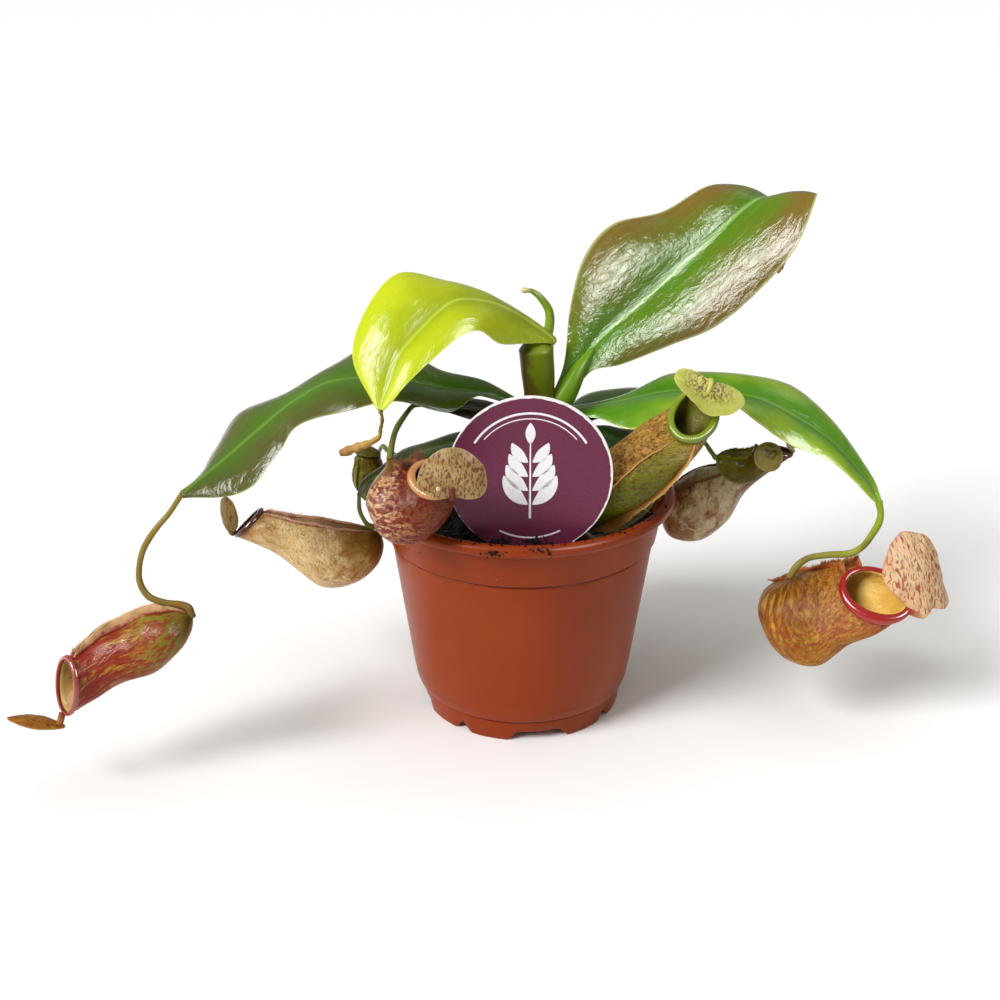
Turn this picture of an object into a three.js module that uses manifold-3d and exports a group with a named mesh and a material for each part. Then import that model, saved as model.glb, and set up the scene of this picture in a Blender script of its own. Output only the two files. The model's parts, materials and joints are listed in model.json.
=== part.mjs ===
import * as THREE from 'three';
import { mergeVertices } from 'three/addons/utils/BufferGeometryUtils.js';
import Module from 'manifold-3d';

// A tropical pitcher plant in a low nursery pot, in millimetres with +Z up.
// The plant is laid out round the pot's axis, and the last lines centre the whole on the origin.

// Driving dimensions of the pot
const POT_RIM_RADIUS = 45;
const POT_HEIGHT = 69.4;
const BEAD_RADIUS = 1.9;
const COLLAR_RADIUS = 41.2;
const COLLAR_TOP = 64.9;
const WALL_TOP_RADIUS = 39.1;
const WALL_TOP = 54.7;
const WALL_FOOT_RADIUS = 33.4;
const WALL_FOOT = 14;
const FOOT_RADIUS = 30.1;
const FOOT_INNER_RADIUS = 27.6;
const FLOOR_BOTTOM = 3.4;
const WALL = 1.2;
const POT_SIDES = 32;
const NOTCHES = 8;
const NOTCH_HEIGHT = 2.9;
const NOTCH_WIDTHS = [3.6, 16];
const NOTCH_START = -36;
const DRAIN_HOLES = 6;
const DRAIN_HOLE_RADIUS = 3;
const DRAIN_RING_RADIUS = 18;

// Driving dimensions of the plant
const GAP = 0.35;
const SOIL_TOP = 60.5;
const SOIL_LUMPS = [0.7, 0.5];
const BLADE_THICKNESS = 0.8;
const CUP_WALL = 0.9;
const LIP_HALF_HEIGHT = 0.8;
const LID_THICKNESS = 0.8;
const LID_NECK_STEPS = 4;
const LID_NECK_SIDES = 5;
const LID_NECK_RADII = [0.95, 0.85, 0.6];
const LID_NECK_REACH = 0.55;
const LID_SPOKES = 16;
const WING_THICKNESS = 0.7;
const WING_ANGLE = THREE.MathUtils.degToRad(30);

// Driving dimensions of the plant tag
const TAG_RADIUS = 22.3;
const TAG_THICKNESS = 0.8;
const TAG_CENTRE = [1.4, -32.6, 85.2];
const TAG_LEAN = THREE.MathUtils.degToRad(3);
const TAG_NECK_HALF = 12.2;
const TAG_NECK_DEPTH = 24;
const TAG_SHOULDER_DEPTH = 30;
const TAG_STAKE_DEPTH = 42;

const wasm = await Module();
wasm.setup();

// Solids and closed meshes

function toSolid(geometry) {
  const bare = geometry.clone();
  bare.deleteAttribute('normal');
  bare.deleteAttribute('uv');
  const merged = mergeVertices(bare, 1e-4);
  const triVerts = new Uint32Array(merged.index.array);
  const vertProperties = new Float32Array(merged.attributes.position.array);
  return new wasm.Manifold(new wasm.Mesh({ numProp: 3, vertProperties, triVerts }));
}

function fromSolid(solid) {
  const mesh = solid.getMesh();
  const geometry = new THREE.BufferGeometry();
  geometry.setAttribute('position', new THREE.BufferAttribute(new Float32Array(mesh.vertProperties), 3));
  geometry.setIndex(Array.from(mesh.triVerts));
  return geometry;
}

// What is left of a solid once the cutters are taken out: its largest body, without the crumbs of the cut
function subtract(geometry, cutters) {
  let solid = toSolid(geometry);
  for (const cutter of cutters) {
    solid = solid.subtract(toSolid(cutter));
  }
  return fromSolid(solid.decompose().sort((a, b) => b.volume() - a.volume())[0]);
}

function join(one, other) {
  return fromSolid(toSolid(one).add(toSolid(other)));
}

// Six times the volume inside a mesh: negative when its faces point inwards
function signedVolume(points, faces) {
  let sum = 0;
  const cross = new THREE.Vector3();
  for (const [a, b, c] of faces) {
    sum += points[a].dot(cross.crossVectors(points[b], points[c]));
  }
  return sum;
}

function closedMesh(points, faces) {
  const inward = signedVolume(points, faces) < 0;
  const index = faces.flatMap(([a, b, c]) => (inward ? [a, c, b] : [a, b, c]));
  const geometry = new THREE.BufferGeometry();
  geometry.setAttribute('position', new THREE.Float32BufferAttribute(points.flatMap((p) => p.toArray()), 3));
  geometry.setIndex(index);
  return geometry;
}

// Rings of equal point counts joined in order, with a fan from a middle point over each end
function loftRings(rings) {
  const sides = rings[0].length;
  const points = rings.flat();
  const faces = [];
  for (let i = 0; i + 1 < rings.length; i += 1) {
    for (let j = 0; j < sides; j += 1) {
      const a = i * sides + j;
      const b = i * sides + ((j + 1) % sides);
      faces.push([a, b, b + sides], [a, b + sides, a + sides]);
    }
  }
  for (const [ring, first, turn] of [[rings[0], 0, 1], [rings.at(-1), (rings.length - 1) * sides, -1]]) {
    const middle = ring.reduce((sum, p) => sum.add(p), new THREE.Vector3()).divideScalar(sides);
    const hub = points.push(middle) - 1;
    for (let j = 0; j < sides; j += 1) {
      const a = first + j;
      const b = first + ((j + 1) % sides);
      faces.push(turn > 0 ? [hub, b, a] : [hub, a, b]);
    }
  }
  return closedMesh(points, faces);
}

// Smooth curves

const vector = (p) => new THREE.Vector3(p[0], p[1], p[2]);

// A number or a point between rows of control values, on a smooth curve through all of them
function along(values, u) {
  const last = values.length - 1;
  const place = Math.min(Math.max(u, 0), 1) * last;
  const i = Math.min(Math.floor(place), last - 1);
  const t = place - i;
  const weights = [
    -0.5 * t + t * t - 0.5 * t * t * t,
    1 - 2.5 * t * t + 1.5 * t * t * t,
    0.5 * t + 2 * t * t - 1.5 * t * t * t,
    -0.5 * t * t + 0.5 * t * t * t,
  ];
  const at = (k, axis) => {
    const value = (n) => (axis < 0 ? values[n] : values[n][axis]);
    if (k < 0) return 2 * value(0) - value(1);
    if (k > last) return 2 * value(last) - value(last - 1);
    return value(k);
  };
  const mix = (axis) => weights.reduce((sum, w, k) => sum + w * at(i - 1 + k, axis), 0);
  return typeof values[0] === 'number' ? mix(-1) : new THREE.Vector3(mix(0), mix(1), mix(2));
}

function tangent(points, u) {
  const step = 1e-3;
  return along(points, Math.min(u + step, 1)).sub(along(points, Math.max(u - step, 0))).normalize();
}

// A round shoot that follows a curve, its radius running through a list of values.
// It is grown all round by an extra.
function shoot(points, radii, steps, sides, extra) {
  const rings = [];
  let across = new THREE.Vector3(0.3, 1, 0.2);
  for (let i = 0; i <= steps; i += 1) {
    const u = i / steps;
    const forward = tangent(points, u);
    across = across.clone().addScaledVector(forward, -across.dot(forward)).normalize();
    const up = new THREE.Vector3().crossVectors(forward, across);
    const beyond = extra * (Number(i === steps) - Number(i === 0));
    const centre = along(points, u).addScaledVector(forward, beyond);
    const radius = along(radii, u) + extra;
    rings.push(Array.from({ length: sides }, (_, j) => {
      const angle = (2 * Math.PI * j) / sides;
      return centre.clone()
        .addScaledVector(across, radius * Math.cos(angle))
        .addScaledVector(up, radius * Math.sin(angle));
    }));
  }
  return loftRings(rings);
}

// Pot: a moulded shell with a rolled rim, a collar below it and a notched foot

function pot() {
  const bead = POT_RIM_RADIUS - BEAD_RADIUS;
  const beadHeight = POT_HEIGHT - BEAD_RADIUS;
  const profile = [
    [0, FLOOR_BOTTOM], [FOOT_INNER_RADIUS, FLOOR_BOTTOM], [FOOT_INNER_RADIUS, 0], [FOOT_RADIUS, 0],
    [30.7, 6.6], [31.8, 7], [32.6, 9.5], [WALL_FOOT_RADIUS, WALL_FOOT], [WALL_TOP_RADIUS, WALL_TOP],
    [39.9, 55.3], [COLLAR_RADIUS, COLLAR_TOP],
  ];
  for (const degrees of [-110, -65, -20, 25, 70, 115, 160]) {
    const angle = THREE.MathUtils.degToRad(degrees);
    profile.push([bead + BEAD_RADIUS * Math.cos(angle), beadHeight + BEAD_RADIUS * Math.sin(angle)]);
  }
  profile.push(
    [COLLAR_RADIUS - WALL, COLLAR_TOP], [WALL_TOP_RADIUS - WALL, WALL_TOP],
    [WALL_FOOT_RADIUS - WALL, WALL_FOOT], [32.6 - WALL, 10], [30.4, 8],
    [29.6, FLOOR_BOTTOM + WALL], [0, FLOOR_BOTTOM + WALL],
  );
  const shell = new THREE.LatheGeometry(profile.map(([r, z]) => new THREE.Vector2(r, z)), POT_SIDES);
  shell.rotateX(Math.PI / 2);
  const cutters = [];
  for (let i = 0; i < NOTCHES; i += 1) {
    const notch = new THREE.BoxGeometry(9, NOTCH_WIDTHS[i % 2], 2 * NOTCH_HEIGHT);
    notch.translate(FOOT_RADIUS - 1, 0, 0);
    notch.rotateZ(THREE.MathUtils.degToRad(NOTCH_START + (360 / NOTCHES) * i));
    cutters.push(notch);
  }
  for (let i = 0; i < DRAIN_HOLES; i += 1) {
    const hole = new THREE.CylinderGeometry(DRAIN_HOLE_RADIUS, DRAIN_HOLE_RADIUS, 6, 12);
    hole.rotateX(Math.PI / 2);
    hole.translate(DRAIN_RING_RADIUS, 0, FLOOR_BOTTOM);
    hole.rotateZ(THREE.MathUtils.degToRad((360 / DRAIN_HOLES) * (i + 0.5)));
    cutters.push(hole);
  }
  return subtract(shell, cutters);
}

// Stem: short and upright, a little wider where the young leaves clasp its top

const STEM_LINE = [[4.5, 1, 52], [4.8, 0.6, 68], [4.9, 0.4, 84], [4.6, 0.2, 98], [3.4, 0, 111.6]];
const STEM_RADII = [3.2, 3.9, 4.2, 4.4, 4.9];
const stem = (extra) => shoot(STEM_LINE, STEM_RADII, 10, 14, extra);

// Tag: a round card on a stake pushed into the soil inside the front rim

function tag(clearance) {
  const neck = TAG_NECK_HALF + clearance;
  const start = Math.asin(TAG_NECK_HALF / TAG_RADIUS) - Math.PI / 2;
  const shape = new THREE.Shape();
  shape.absarc(0, 0, TAG_RADIUS + clearance, start, Math.PI - start, false);
  shape.lineTo(-neck, -TAG_NECK_DEPTH);
  shape.lineTo(-neck * 0.8, -TAG_SHOULDER_DEPTH);
  shape.lineTo(0, -TAG_STAKE_DEPTH - clearance);
  shape.lineTo(neck * 0.8, -TAG_SHOULDER_DEPTH);
  shape.lineTo(neck, -TAG_NECK_DEPTH);
  shape.closePath();
  const depth = TAG_THICKNESS + 2 * clearance;
  const card = new THREE.ExtrudeGeometry(shape, { depth, bevelEnabled: false, curveSegments: 36 });
  card.translate(0, 0, -depth / 2);
  card.rotateX(Math.PI / 2 - TAG_LEAN);
  card.translate(...TAG_CENTRE);
  return card;
}

// Soil: fills the pot to just under the rim, lumpy on top, with plain holes for the stem and the tag

function soil() {
  const sides = 28;
  const lump = (x, y) => SOIL_LUMPS[0] * Math.sin(0.31 * x + 1.3) * Math.cos(0.27 * y)
    + SOIL_LUMPS[1] * Math.sin(0.7 * x + 0.9 * y);
  const ring = (radius, height, lumpy) => Array.from({ length: sides }, (_, j) => {
    const angle = (2 * Math.PI * j) / sides;
    const x = radius * Math.cos(angle);
    const y = radius * Math.sin(angle);
    return new THREE.Vector3(x, y, height + (lumpy ? lump(x, y) : 0));
  });
  const rings = [
    ring(29.2, FLOOR_BOTTOM + WALL + GAP, false), ring(WALL_FOOT_RADIUS - WALL - 0.5, WALL_FOOT, false),
    ring(WALL_TOP_RADIUS - WALL - 0.5, WALL_TOP, false),
    ring(38.2, SOIL_TOP - 1.2, true), ring(36, SOIL_TOP, true), ring(30, SOIL_TOP, true),
    ring(23, SOIL_TOP, true), ring(15, SOIL_TOP + 0.5, true), ring(8, SOIL_TOP + 1, true),
  ];
  return subtract(loftRings(rings), [stem(GAP), tag(GAP)]);
}

// Leaf blades: each row is a station from stem to tip: midrib, far or left margin, near or right margin.
// The blade is drawn across each station and swells a little between midrib and margin.

const LEAVES = {
  leaf_upper_right: {
    colour: '#5b6b2a', bulge: 0.1, wave: 0.4, waves: 3.5,
    stations: [
      [[8.6, 1, 91], [7, 1.6, 92.5], [10.4, -0.4, 90]],
      [[12, 1, 96.6], [9.6, 1.6, 98.6], [13.8, -0.4, 96]],
      [[16, 4, 104.4], [12, 4, 107], [19.2, 2, 103.4]],
      [[22.5, 9, 112], [13.5, 10, 121], [28.5, 6, 104.5]],
      [[33, 16, 119], [17.5, 18, 133], [43.5, 11, 109]],
      [[44, 24, 126.5], [26.5, 27, 141], [56.5, 17, 112.5]],
      [[56, 32, 135], [42, 37, 142.5], [69, 24, 120.5]],
      [[67.5, 41, 143], [56.5, 46, 148.5], [81.5, 31, 133]],
      [[75.5, 50, 144], [68, 55, 147], [88.5, 40, 146.5]],
      [[83, 62, 136.5], [78, 64, 139], [90, 56, 139.5]],
      [[87, 72, 120.5], [86, 73, 121], [88, 71, 121]],
    ],
  },
  leaf_young_left: {
    colour: '#a9b92c', bulge: 0.12, wave: 0.3, waves: 3,
    stations: [
      [[6.5, 0, 111.8], [7.5, 1.6, 112], [5.5, -2, 111.6]],
      [[8.5, 0, 113.2], [9, 2, 113.7], [8, -1.2, 112.7]],
      [[1.5, -1, 119], [2.5, 2.5, 118.5], [1.5, -5, 114]],
      [[-5, -3, 123.5], [-5.5, 5, 122.5], [-6.5, -10, 115.5]],
      [[-12, -5, 126], [-13, 6, 126.5], [-12.5, -14, 120]],
      [[-19.5, -8, 126.5], [-23, 5, 129.5], [-19, -18, 118.5]],
      [[-27, -12, 121], [-35.5, 2, 132], [-26, -22, 113.5]],
      [[-33.5, -17, 114.5], [-44, -5, 123.5], [-31.5, -25, 108.5]],
      [[-36.5, -21, 107], [-47, -13, 112], [-35.5, -26, 104]],
      [[-39, -25, 101], [-40, -25, 101.5], [-38, -26, 101.5]],
    ],
  },
  leaf_long_left: {
    colour: '#3f5a22', bulge: 0.12, wave: 0.6, waves: 4.5,
    stations: [
      [[1.5, 2, 92], [1.5, 3.5, 93], [1, 0.5, 91.5]],
      [[-11, 2, 96.6], [-9.5, 6.5, 98.6], [-12, -4, 98]],
      [[-24, 2, 98.6], [-23.4, 9, 101.6], [-21.4, -9.5, 95.6]],
      [[-36.5, -1, 102], [-38.5, 12, 109.5], [-36.5, -12, 99]],
      [[-53, -7, 103.5], [-56, 8, 103], [-49.5, -17, 98.5]],
      [[-63.5, -14, 100], [-68, 2, 96], [-62, -22, 95]],
      [[-72, -20, 94.5], [-81, -8, 94], [-67, -27, 90]],
      [[-79.5, -27, 89.5], [-86.5, -18, 86.5], [-72.5, -34, 83]],
      [[-85.5, -34, 86], [-88.5, -28, 82.5], [-81, -38, 81.5]],
      [[-91, -40, 83], [-91, -40, 84], [-90.5, -40.5, 82]],
    ],
  },
  leaf_long_right: {
    colour: '#4f8430', bulge: 0.12, wave: 0.5, waves: 3.5,
    stations: [
      [[8, 3, 90.5], [7.5, 4.5, 91], [8.5, 1.8, 90]],
      [[12, 5, 90.8], [12, 7, 90.8], [12, 3, 90.2]],
      [[20.5, 5, 92], [22, 9.5, 91.4], [21.6, -0.5, 90.2]],
      [[30, 4.5, 94], [31.5, 13, 92.8], [30.8, -8.5, 89.4]],
      [[42.5, 6, 96], [44.5, 17, 98], [44, -8, 94]],
      [[56, 6, 95.6], [58, 18, 98.8], [57, -5, 96.4]],
      [[68, 4, 94.6], [70, 17, 97.2], [66.5, -8.5, 91.4]],
      [[79, 1, 90], [82, 14, 94.2], [76.5, -9, 85.4]],
      [[89, -3, 84], [92, 8, 86.6], [86, -10.5, 81.6]],
      [[98.2, -9, 74.6], [100.6, -5, 75], [95, -14, 75]],
      [[101.5, -14, 69.5], [102.5, -14, 70], [100.7, -14.5, 69.5]],
    ],
  },
  leaf_low_left: {
    colour: '#33471d', bulge: 0.1, wave: 0.4, waves: 3,
    stations: [
      [[1.5, -1.5, 84.5], [1, 0, 85], [2, -2.8, 84]],
      [[-8, -3.5, 86], [-9, 1, 86.4], [-8, -8, 85.4]],
      [[-20, -5, 84.2], [-20, 1, 85], [-21, -11.5, 82.6]],
      [[-28, -6, 82.2], [-27.5, 1, 82.8], [-28, -12, 80]],
      [[-34, -6, 79], [-34.5, 1, 80], [-33.5, -11, 76.5]],
      [[-40, -4.5, 75], [-41, 0, 76], [-38, -8, 72.5]],
      [[-45.4, -3, 71.2], [-46.9, -1, 71.2], [-44, -4.5, 71.1]],
      [[-48, -2.2, 66.9], [-48.8, -2, 67], [-47.3, -3, 66.9]],
    ],
  },
  leaf_low_right: {
    colour: '#2c431d', bulge: 0.1, wave: 0.3, waves: 3,
    stations: [
      [[8, -1, 83.5], [8.6, 0.6, 84], [7.4, -2.4, 83]],
      [[17, -3.5, 87], [18.5, 1.8, 86.8], [16.5, -10, 84.8]],
      [[26, -5, 85.4], [27.5, 2.4, 86.4], [23.5, -13, 82.3]],
      [[33.5, -5, 81], [36.5, 2, 84], [31.5, -10, 78.5]],
      [[38.5, -4, 74], [39.5, -3.6, 74.5], [37.6, -5, 74]],
    ],
  },
  leaf_under_left: {
    colour: '#3c3a1a', bulge: 0.1, wave: 0.2, waves: 2,
    stations: [
      [[1, 1, 87.6], [1, 2.4, 88], [1, -0.4, 87.2]],
      [[-6, 1, 91], [-6, 5, 92], [-6.5, -3.5, 90]],
      [[-14, 1, 93], [-14, 6, 94], [-14.5, -5, 91.5]],
      [[-21, 1, 94], [-21, 4.5, 94.8], [-21.5, -3, 92.7]],
      [[-26, 2, 93.4], [-26.2, 3.1, 93.7], [-26.1, 1, 93.1]],
    ],
  },
  leaf_under_right: {
    colour: '#35491f', bulge: 0.1, wave: 0.2, waves: 2,
    stations: [
      [[8.8, 2.4, 86.6], [8.4, 3.6, 86.8], [9.2, 1.4, 86.4]],
      [[19, 7.5, 88.6], [18, 11, 88.9], [20, 4.2, 88.3]],
      [[31, 11, 89], [30, 16, 89.4], [32, 6, 88.3]],
      [[42, 10.8, 87.6], [42, 14.2, 87.9], [42.5, 7.4, 87]],
      [[49.3, 8.3, 84.3], [49.6, 9.3, 84.4], [49, 7.3, 84.2]],
    ],
  },
  leaf_back_right: {
    colour: '#44652a', bulge: 0.12, wave: 0.4, waves: 3,
    stations: [
      [[7.5, 4, 82], [6.5, 5, 82.3], [8.4, 3.2, 81.7]],
      [[17, 14, 86], [13, 19, 86.6], [21, 11, 85.4]],
      [[30, 24, 87.6], [24.5, 31.5, 88], [35.5, 18.5, 86]],
      [[43, 31, 85], [39, 38, 86], [47, 26, 83]],
      [[52, 33.3, 77.5], [51.5, 34.5, 77.8], [52.5, 32.3, 77.2]],
    ],
  },
  leaf_back_left: {
    colour: '#3d5a26', bulge: 0.12, wave: 0.3, waves: 3,
    stations: [
      [[1.4, 3, 75], [2.4, 4.4, 75.4], [0.8, 1.8, 74.6]],
      [[-8, 8, 77], [-6, 13, 78], [-10, 3, 76]],
      [[-19, 12, 76.5], [-17, 18.5, 77.5], [-21, 6, 75.5]],
      [[-29, 14.5, 74], [-28, 20, 75], [-30, 9.5, 73]],
      [[-36, 15.5, 71.8], [-36, 16.6, 72], [-36, 14.5, 71.7]],
    ],
  },
};

function blade({ stations, bulge, wave, waves }) {
  const [rib, left, right] = [0, 1, 2].map((k) => stations.map((row) => row[k]));
  const lengthCells = Math.round(1.6 * stations.length);
  const halfCells = stations.length > 6 ? 3 : 2;
  const span = along(right, 0.5).sub(along(left, 0.5));
  const upwards = Math.sign(span.cross(tangent(rib, 0.5)).z);
  const middle = [];
  for (let i = 0; i <= lengthCells; i += 1) {
    const u = i / lengthCells;
    const centre = along(rib, u);
    const across = along(right, u).sub(along(left, u));
    const up = new THREE.Vector3().crossVectors(across, tangent(rib, u)).normalize();
    const taper = Math.sin(Math.PI * u) ** 0.5;
    const row = [];
    for (let j = -halfCells; j <= halfCells; j += 1) {
      const w = Math.abs(j) / halfCells;
      const margin = along(j < 0 ? left : right, u);
      const reach = margin.distanceTo(centre);
      const ripple = wave * taper * w ** 3 * Math.sin(2 * Math.PI * waves * u + (j < 0 ? 0 : 2));
      row.push(centre.clone().lerp(margin, w)
        .addScaledVector(up, upwards * 4 * bulge * reach * w * (1 - w) + ripple));
    }
    middle.push(row);
  }
  return thickened(middle, BLADE_THICKNESS);
}

// A grid of points given a thickness, both faces split into triangles alike and the edge closed
function thickened(grid, thickness) {
  const rows = grid.length;
  const columns = grid[0].length;
  const points = [];
  for (const side of [0.5, -0.5]) {
    for (let i = 0; i < rows; i += 1) {
      for (let j = 0; j < columns; j += 1) {
        const alongRows = grid[Math.min(i + 1, rows - 1)][j].clone().sub(grid[Math.max(i - 1, 0)][j]);
        const alongColumns = grid[i][Math.min(j + 1, columns - 1)].clone().sub(grid[i][Math.max(j - 1, 0)]);
        const normal = alongRows.cross(alongColumns).normalize();
        points.push(grid[i][j].clone().addScaledVector(normal, side * thickness));
      }
    }
  }
  const count = rows * columns;
  const faces = [];
  for (let i = 0; i + 1 < rows; i += 1) {
    for (let j = 0; j + 1 < columns; j += 1) {
      const a = i * columns + j;
      const [b, c, d] = [a + 1, a + columns, a + columns + 1];
      faces.push([a, c, d], [a, d, b], [a + count, d + count, c + count], [a + count, b + count, d + count]);
    }
  }
  const rim = [];
  for (let j = 0; j < columns; j += 1) rim.push(j);
  for (let i = 1; i < rows; i += 1) rim.push(i * columns + columns - 1);
  for (let j = columns - 2; j >= 0; j -= 1) rim.push((rows - 1) * columns + j);
  for (let i = rows - 2; i > 0; i -= 1) rim.push(i * columns);
  rim.forEach((a, k) => {
    const b = rim[(k + 1) % rim.length];
    faces.push([a, b, b + count], [a, b + count, a + count]);
  });
  return closedMesh(points, faces);
}

// Tendrils: each carries a pitcher from a leaf's tip, and the two dried ones end bare

const TENDRILS = {
  tendril_far_left: {
    line: [[-91.4, -40.6, 82.2], [-94.4, -41.5, 78], [-98, -42.5, 74], [-101.4, -43, 69],
      [-103.1, -43.5, 64], [-103.4, -44, 59], [-101.3, -44.5, 55], [-97, -45, 53.4], [-93, -45, 52.9],
      [-90.8, -45, 51.8], [-90.2, -45, 49.8]],
    radii: [0.7, 0.8, 0.9, 0.9, 1],
  },
  tendril_mid_left: {
    line: [[-48.3, -2, 66.2], [-48.4, -1.4, 62], [-47.4, -0.8, 58.5], [-46, -0.4, 56.4], [-43.6, 0, 55.4],
      [-42.4, 0, 53.5]],
    radii: [0.7, 0.8, 0.9],
  },
  tendril_front_left: {
    line: [[-26.8, 1.7, 93.4], [-30, -0.5, 94.4], [-31.8, -4, 95], [-33.8, -10, 94], [-35.4, -18, 93.2],
      [-36, -26, 92], [-36.3, -30.2, 89.6]],
    radii: [0.7, 0.9, 1],
  },
  tendril_right_front: {
    line: [[38.9, -4.3, 73.5], [39.2, -6, 70], [35.5, -12, 66], [27, -20, 63.4], [20, -24.8, 63.2],
      [17.3, -25.2, 64.8]],
    radii: [0.8, 0.9, 1],
  },
  tendril_right_back: {
    line: [[52.4, 33.4, 76.8], [52.6, 33.2, 72.5], [49.6, 29.5, 68.5], [46.6, 25, 65], [45.2, 22.2, 60]],
    radii: [0.7, 0.8, 1],
  },
  tendril_far_right: {
    line: [[101.8, -14.3, 68.9], [102.3, -14.8, 66.5], [102, -15, 63.5], [100.4, -14.5, 59.3],
      [98.6, -13.5, 55.4], [95.2, -12.3, 52.6], [89.5, -11.4, 51.8], [84, -11.4, 50.8], [80.6, -12, 48.6],
      [79, -12, 45.6]],
    radii: [1, 0.9, 0.9, 1],
  },
  tendril_small_left: {
    line: [[-36.5, 15.6, 71.8], [-41, 20, 72.2], [-43.6, 28, 71], [-45.6, 34, 66], [-48, 34, 59.5],
      [-48.8, 31.6, 53], [-48.9, 28.2, 51], [-48.7, 26.2, 52.2]],
    radii: [0.6, 0.7, 0.8],
  },
  tendril_small_right: {
    line: [[49.8, 8.1, 83.9], [54, 7, 80.2], [55.6, 5.4, 78.2], [56.8, 4.2, 76.8]],
    radii: [0.7, 0.7, 0.8],
  },
  tendril_dried_upper: {
    line: [[87.2, 72.6, 120], [86.9, 73.3, 117.6], [85.6, 73, 115.6]],
    radii: [0.8, 0.7, 0.6],
  },
  tendril_dried_young: {
    line: [[-38.8, -25.4, 100.6], [-38.5, -25.2, 98.6], [-39, -25, 96], [-39.6, -25, 93.6], [-41.8, -25, 92],
      [-45.5, -25, 90.5], [-50, -25, 89]],
    radii: [0.8, 0.8, 0.8, 0.9, 1.3, 1.4, 0.5],
  },
};

// New shoot: the next leaf, still rolled up, curling over at its tip
const NEW_SHOOT = {
  line: [[6, 4.4, 112.4], [7.4, 5, 116.2], [7.2, 5, 120.6], [5, 5, 124.2], [2.6, 5, 126.2],
    [0.8, 5, 126.6]],
  radii: [1.2, 1.2, 1.1, 0.9, 0.7, 0.7],
};

// Pitchers: each row is a ring from the tendril to the mouth, as [point on the winged front seam,
// point on the back, half width], and "across" is the way the half width runs at base and mouth.
// "lip" is half the lip's width. "lid" gives its middle, half its length from the hinge, half its width, its
// rise, and how far its edge reaches at even steps round it from the tip.

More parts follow.
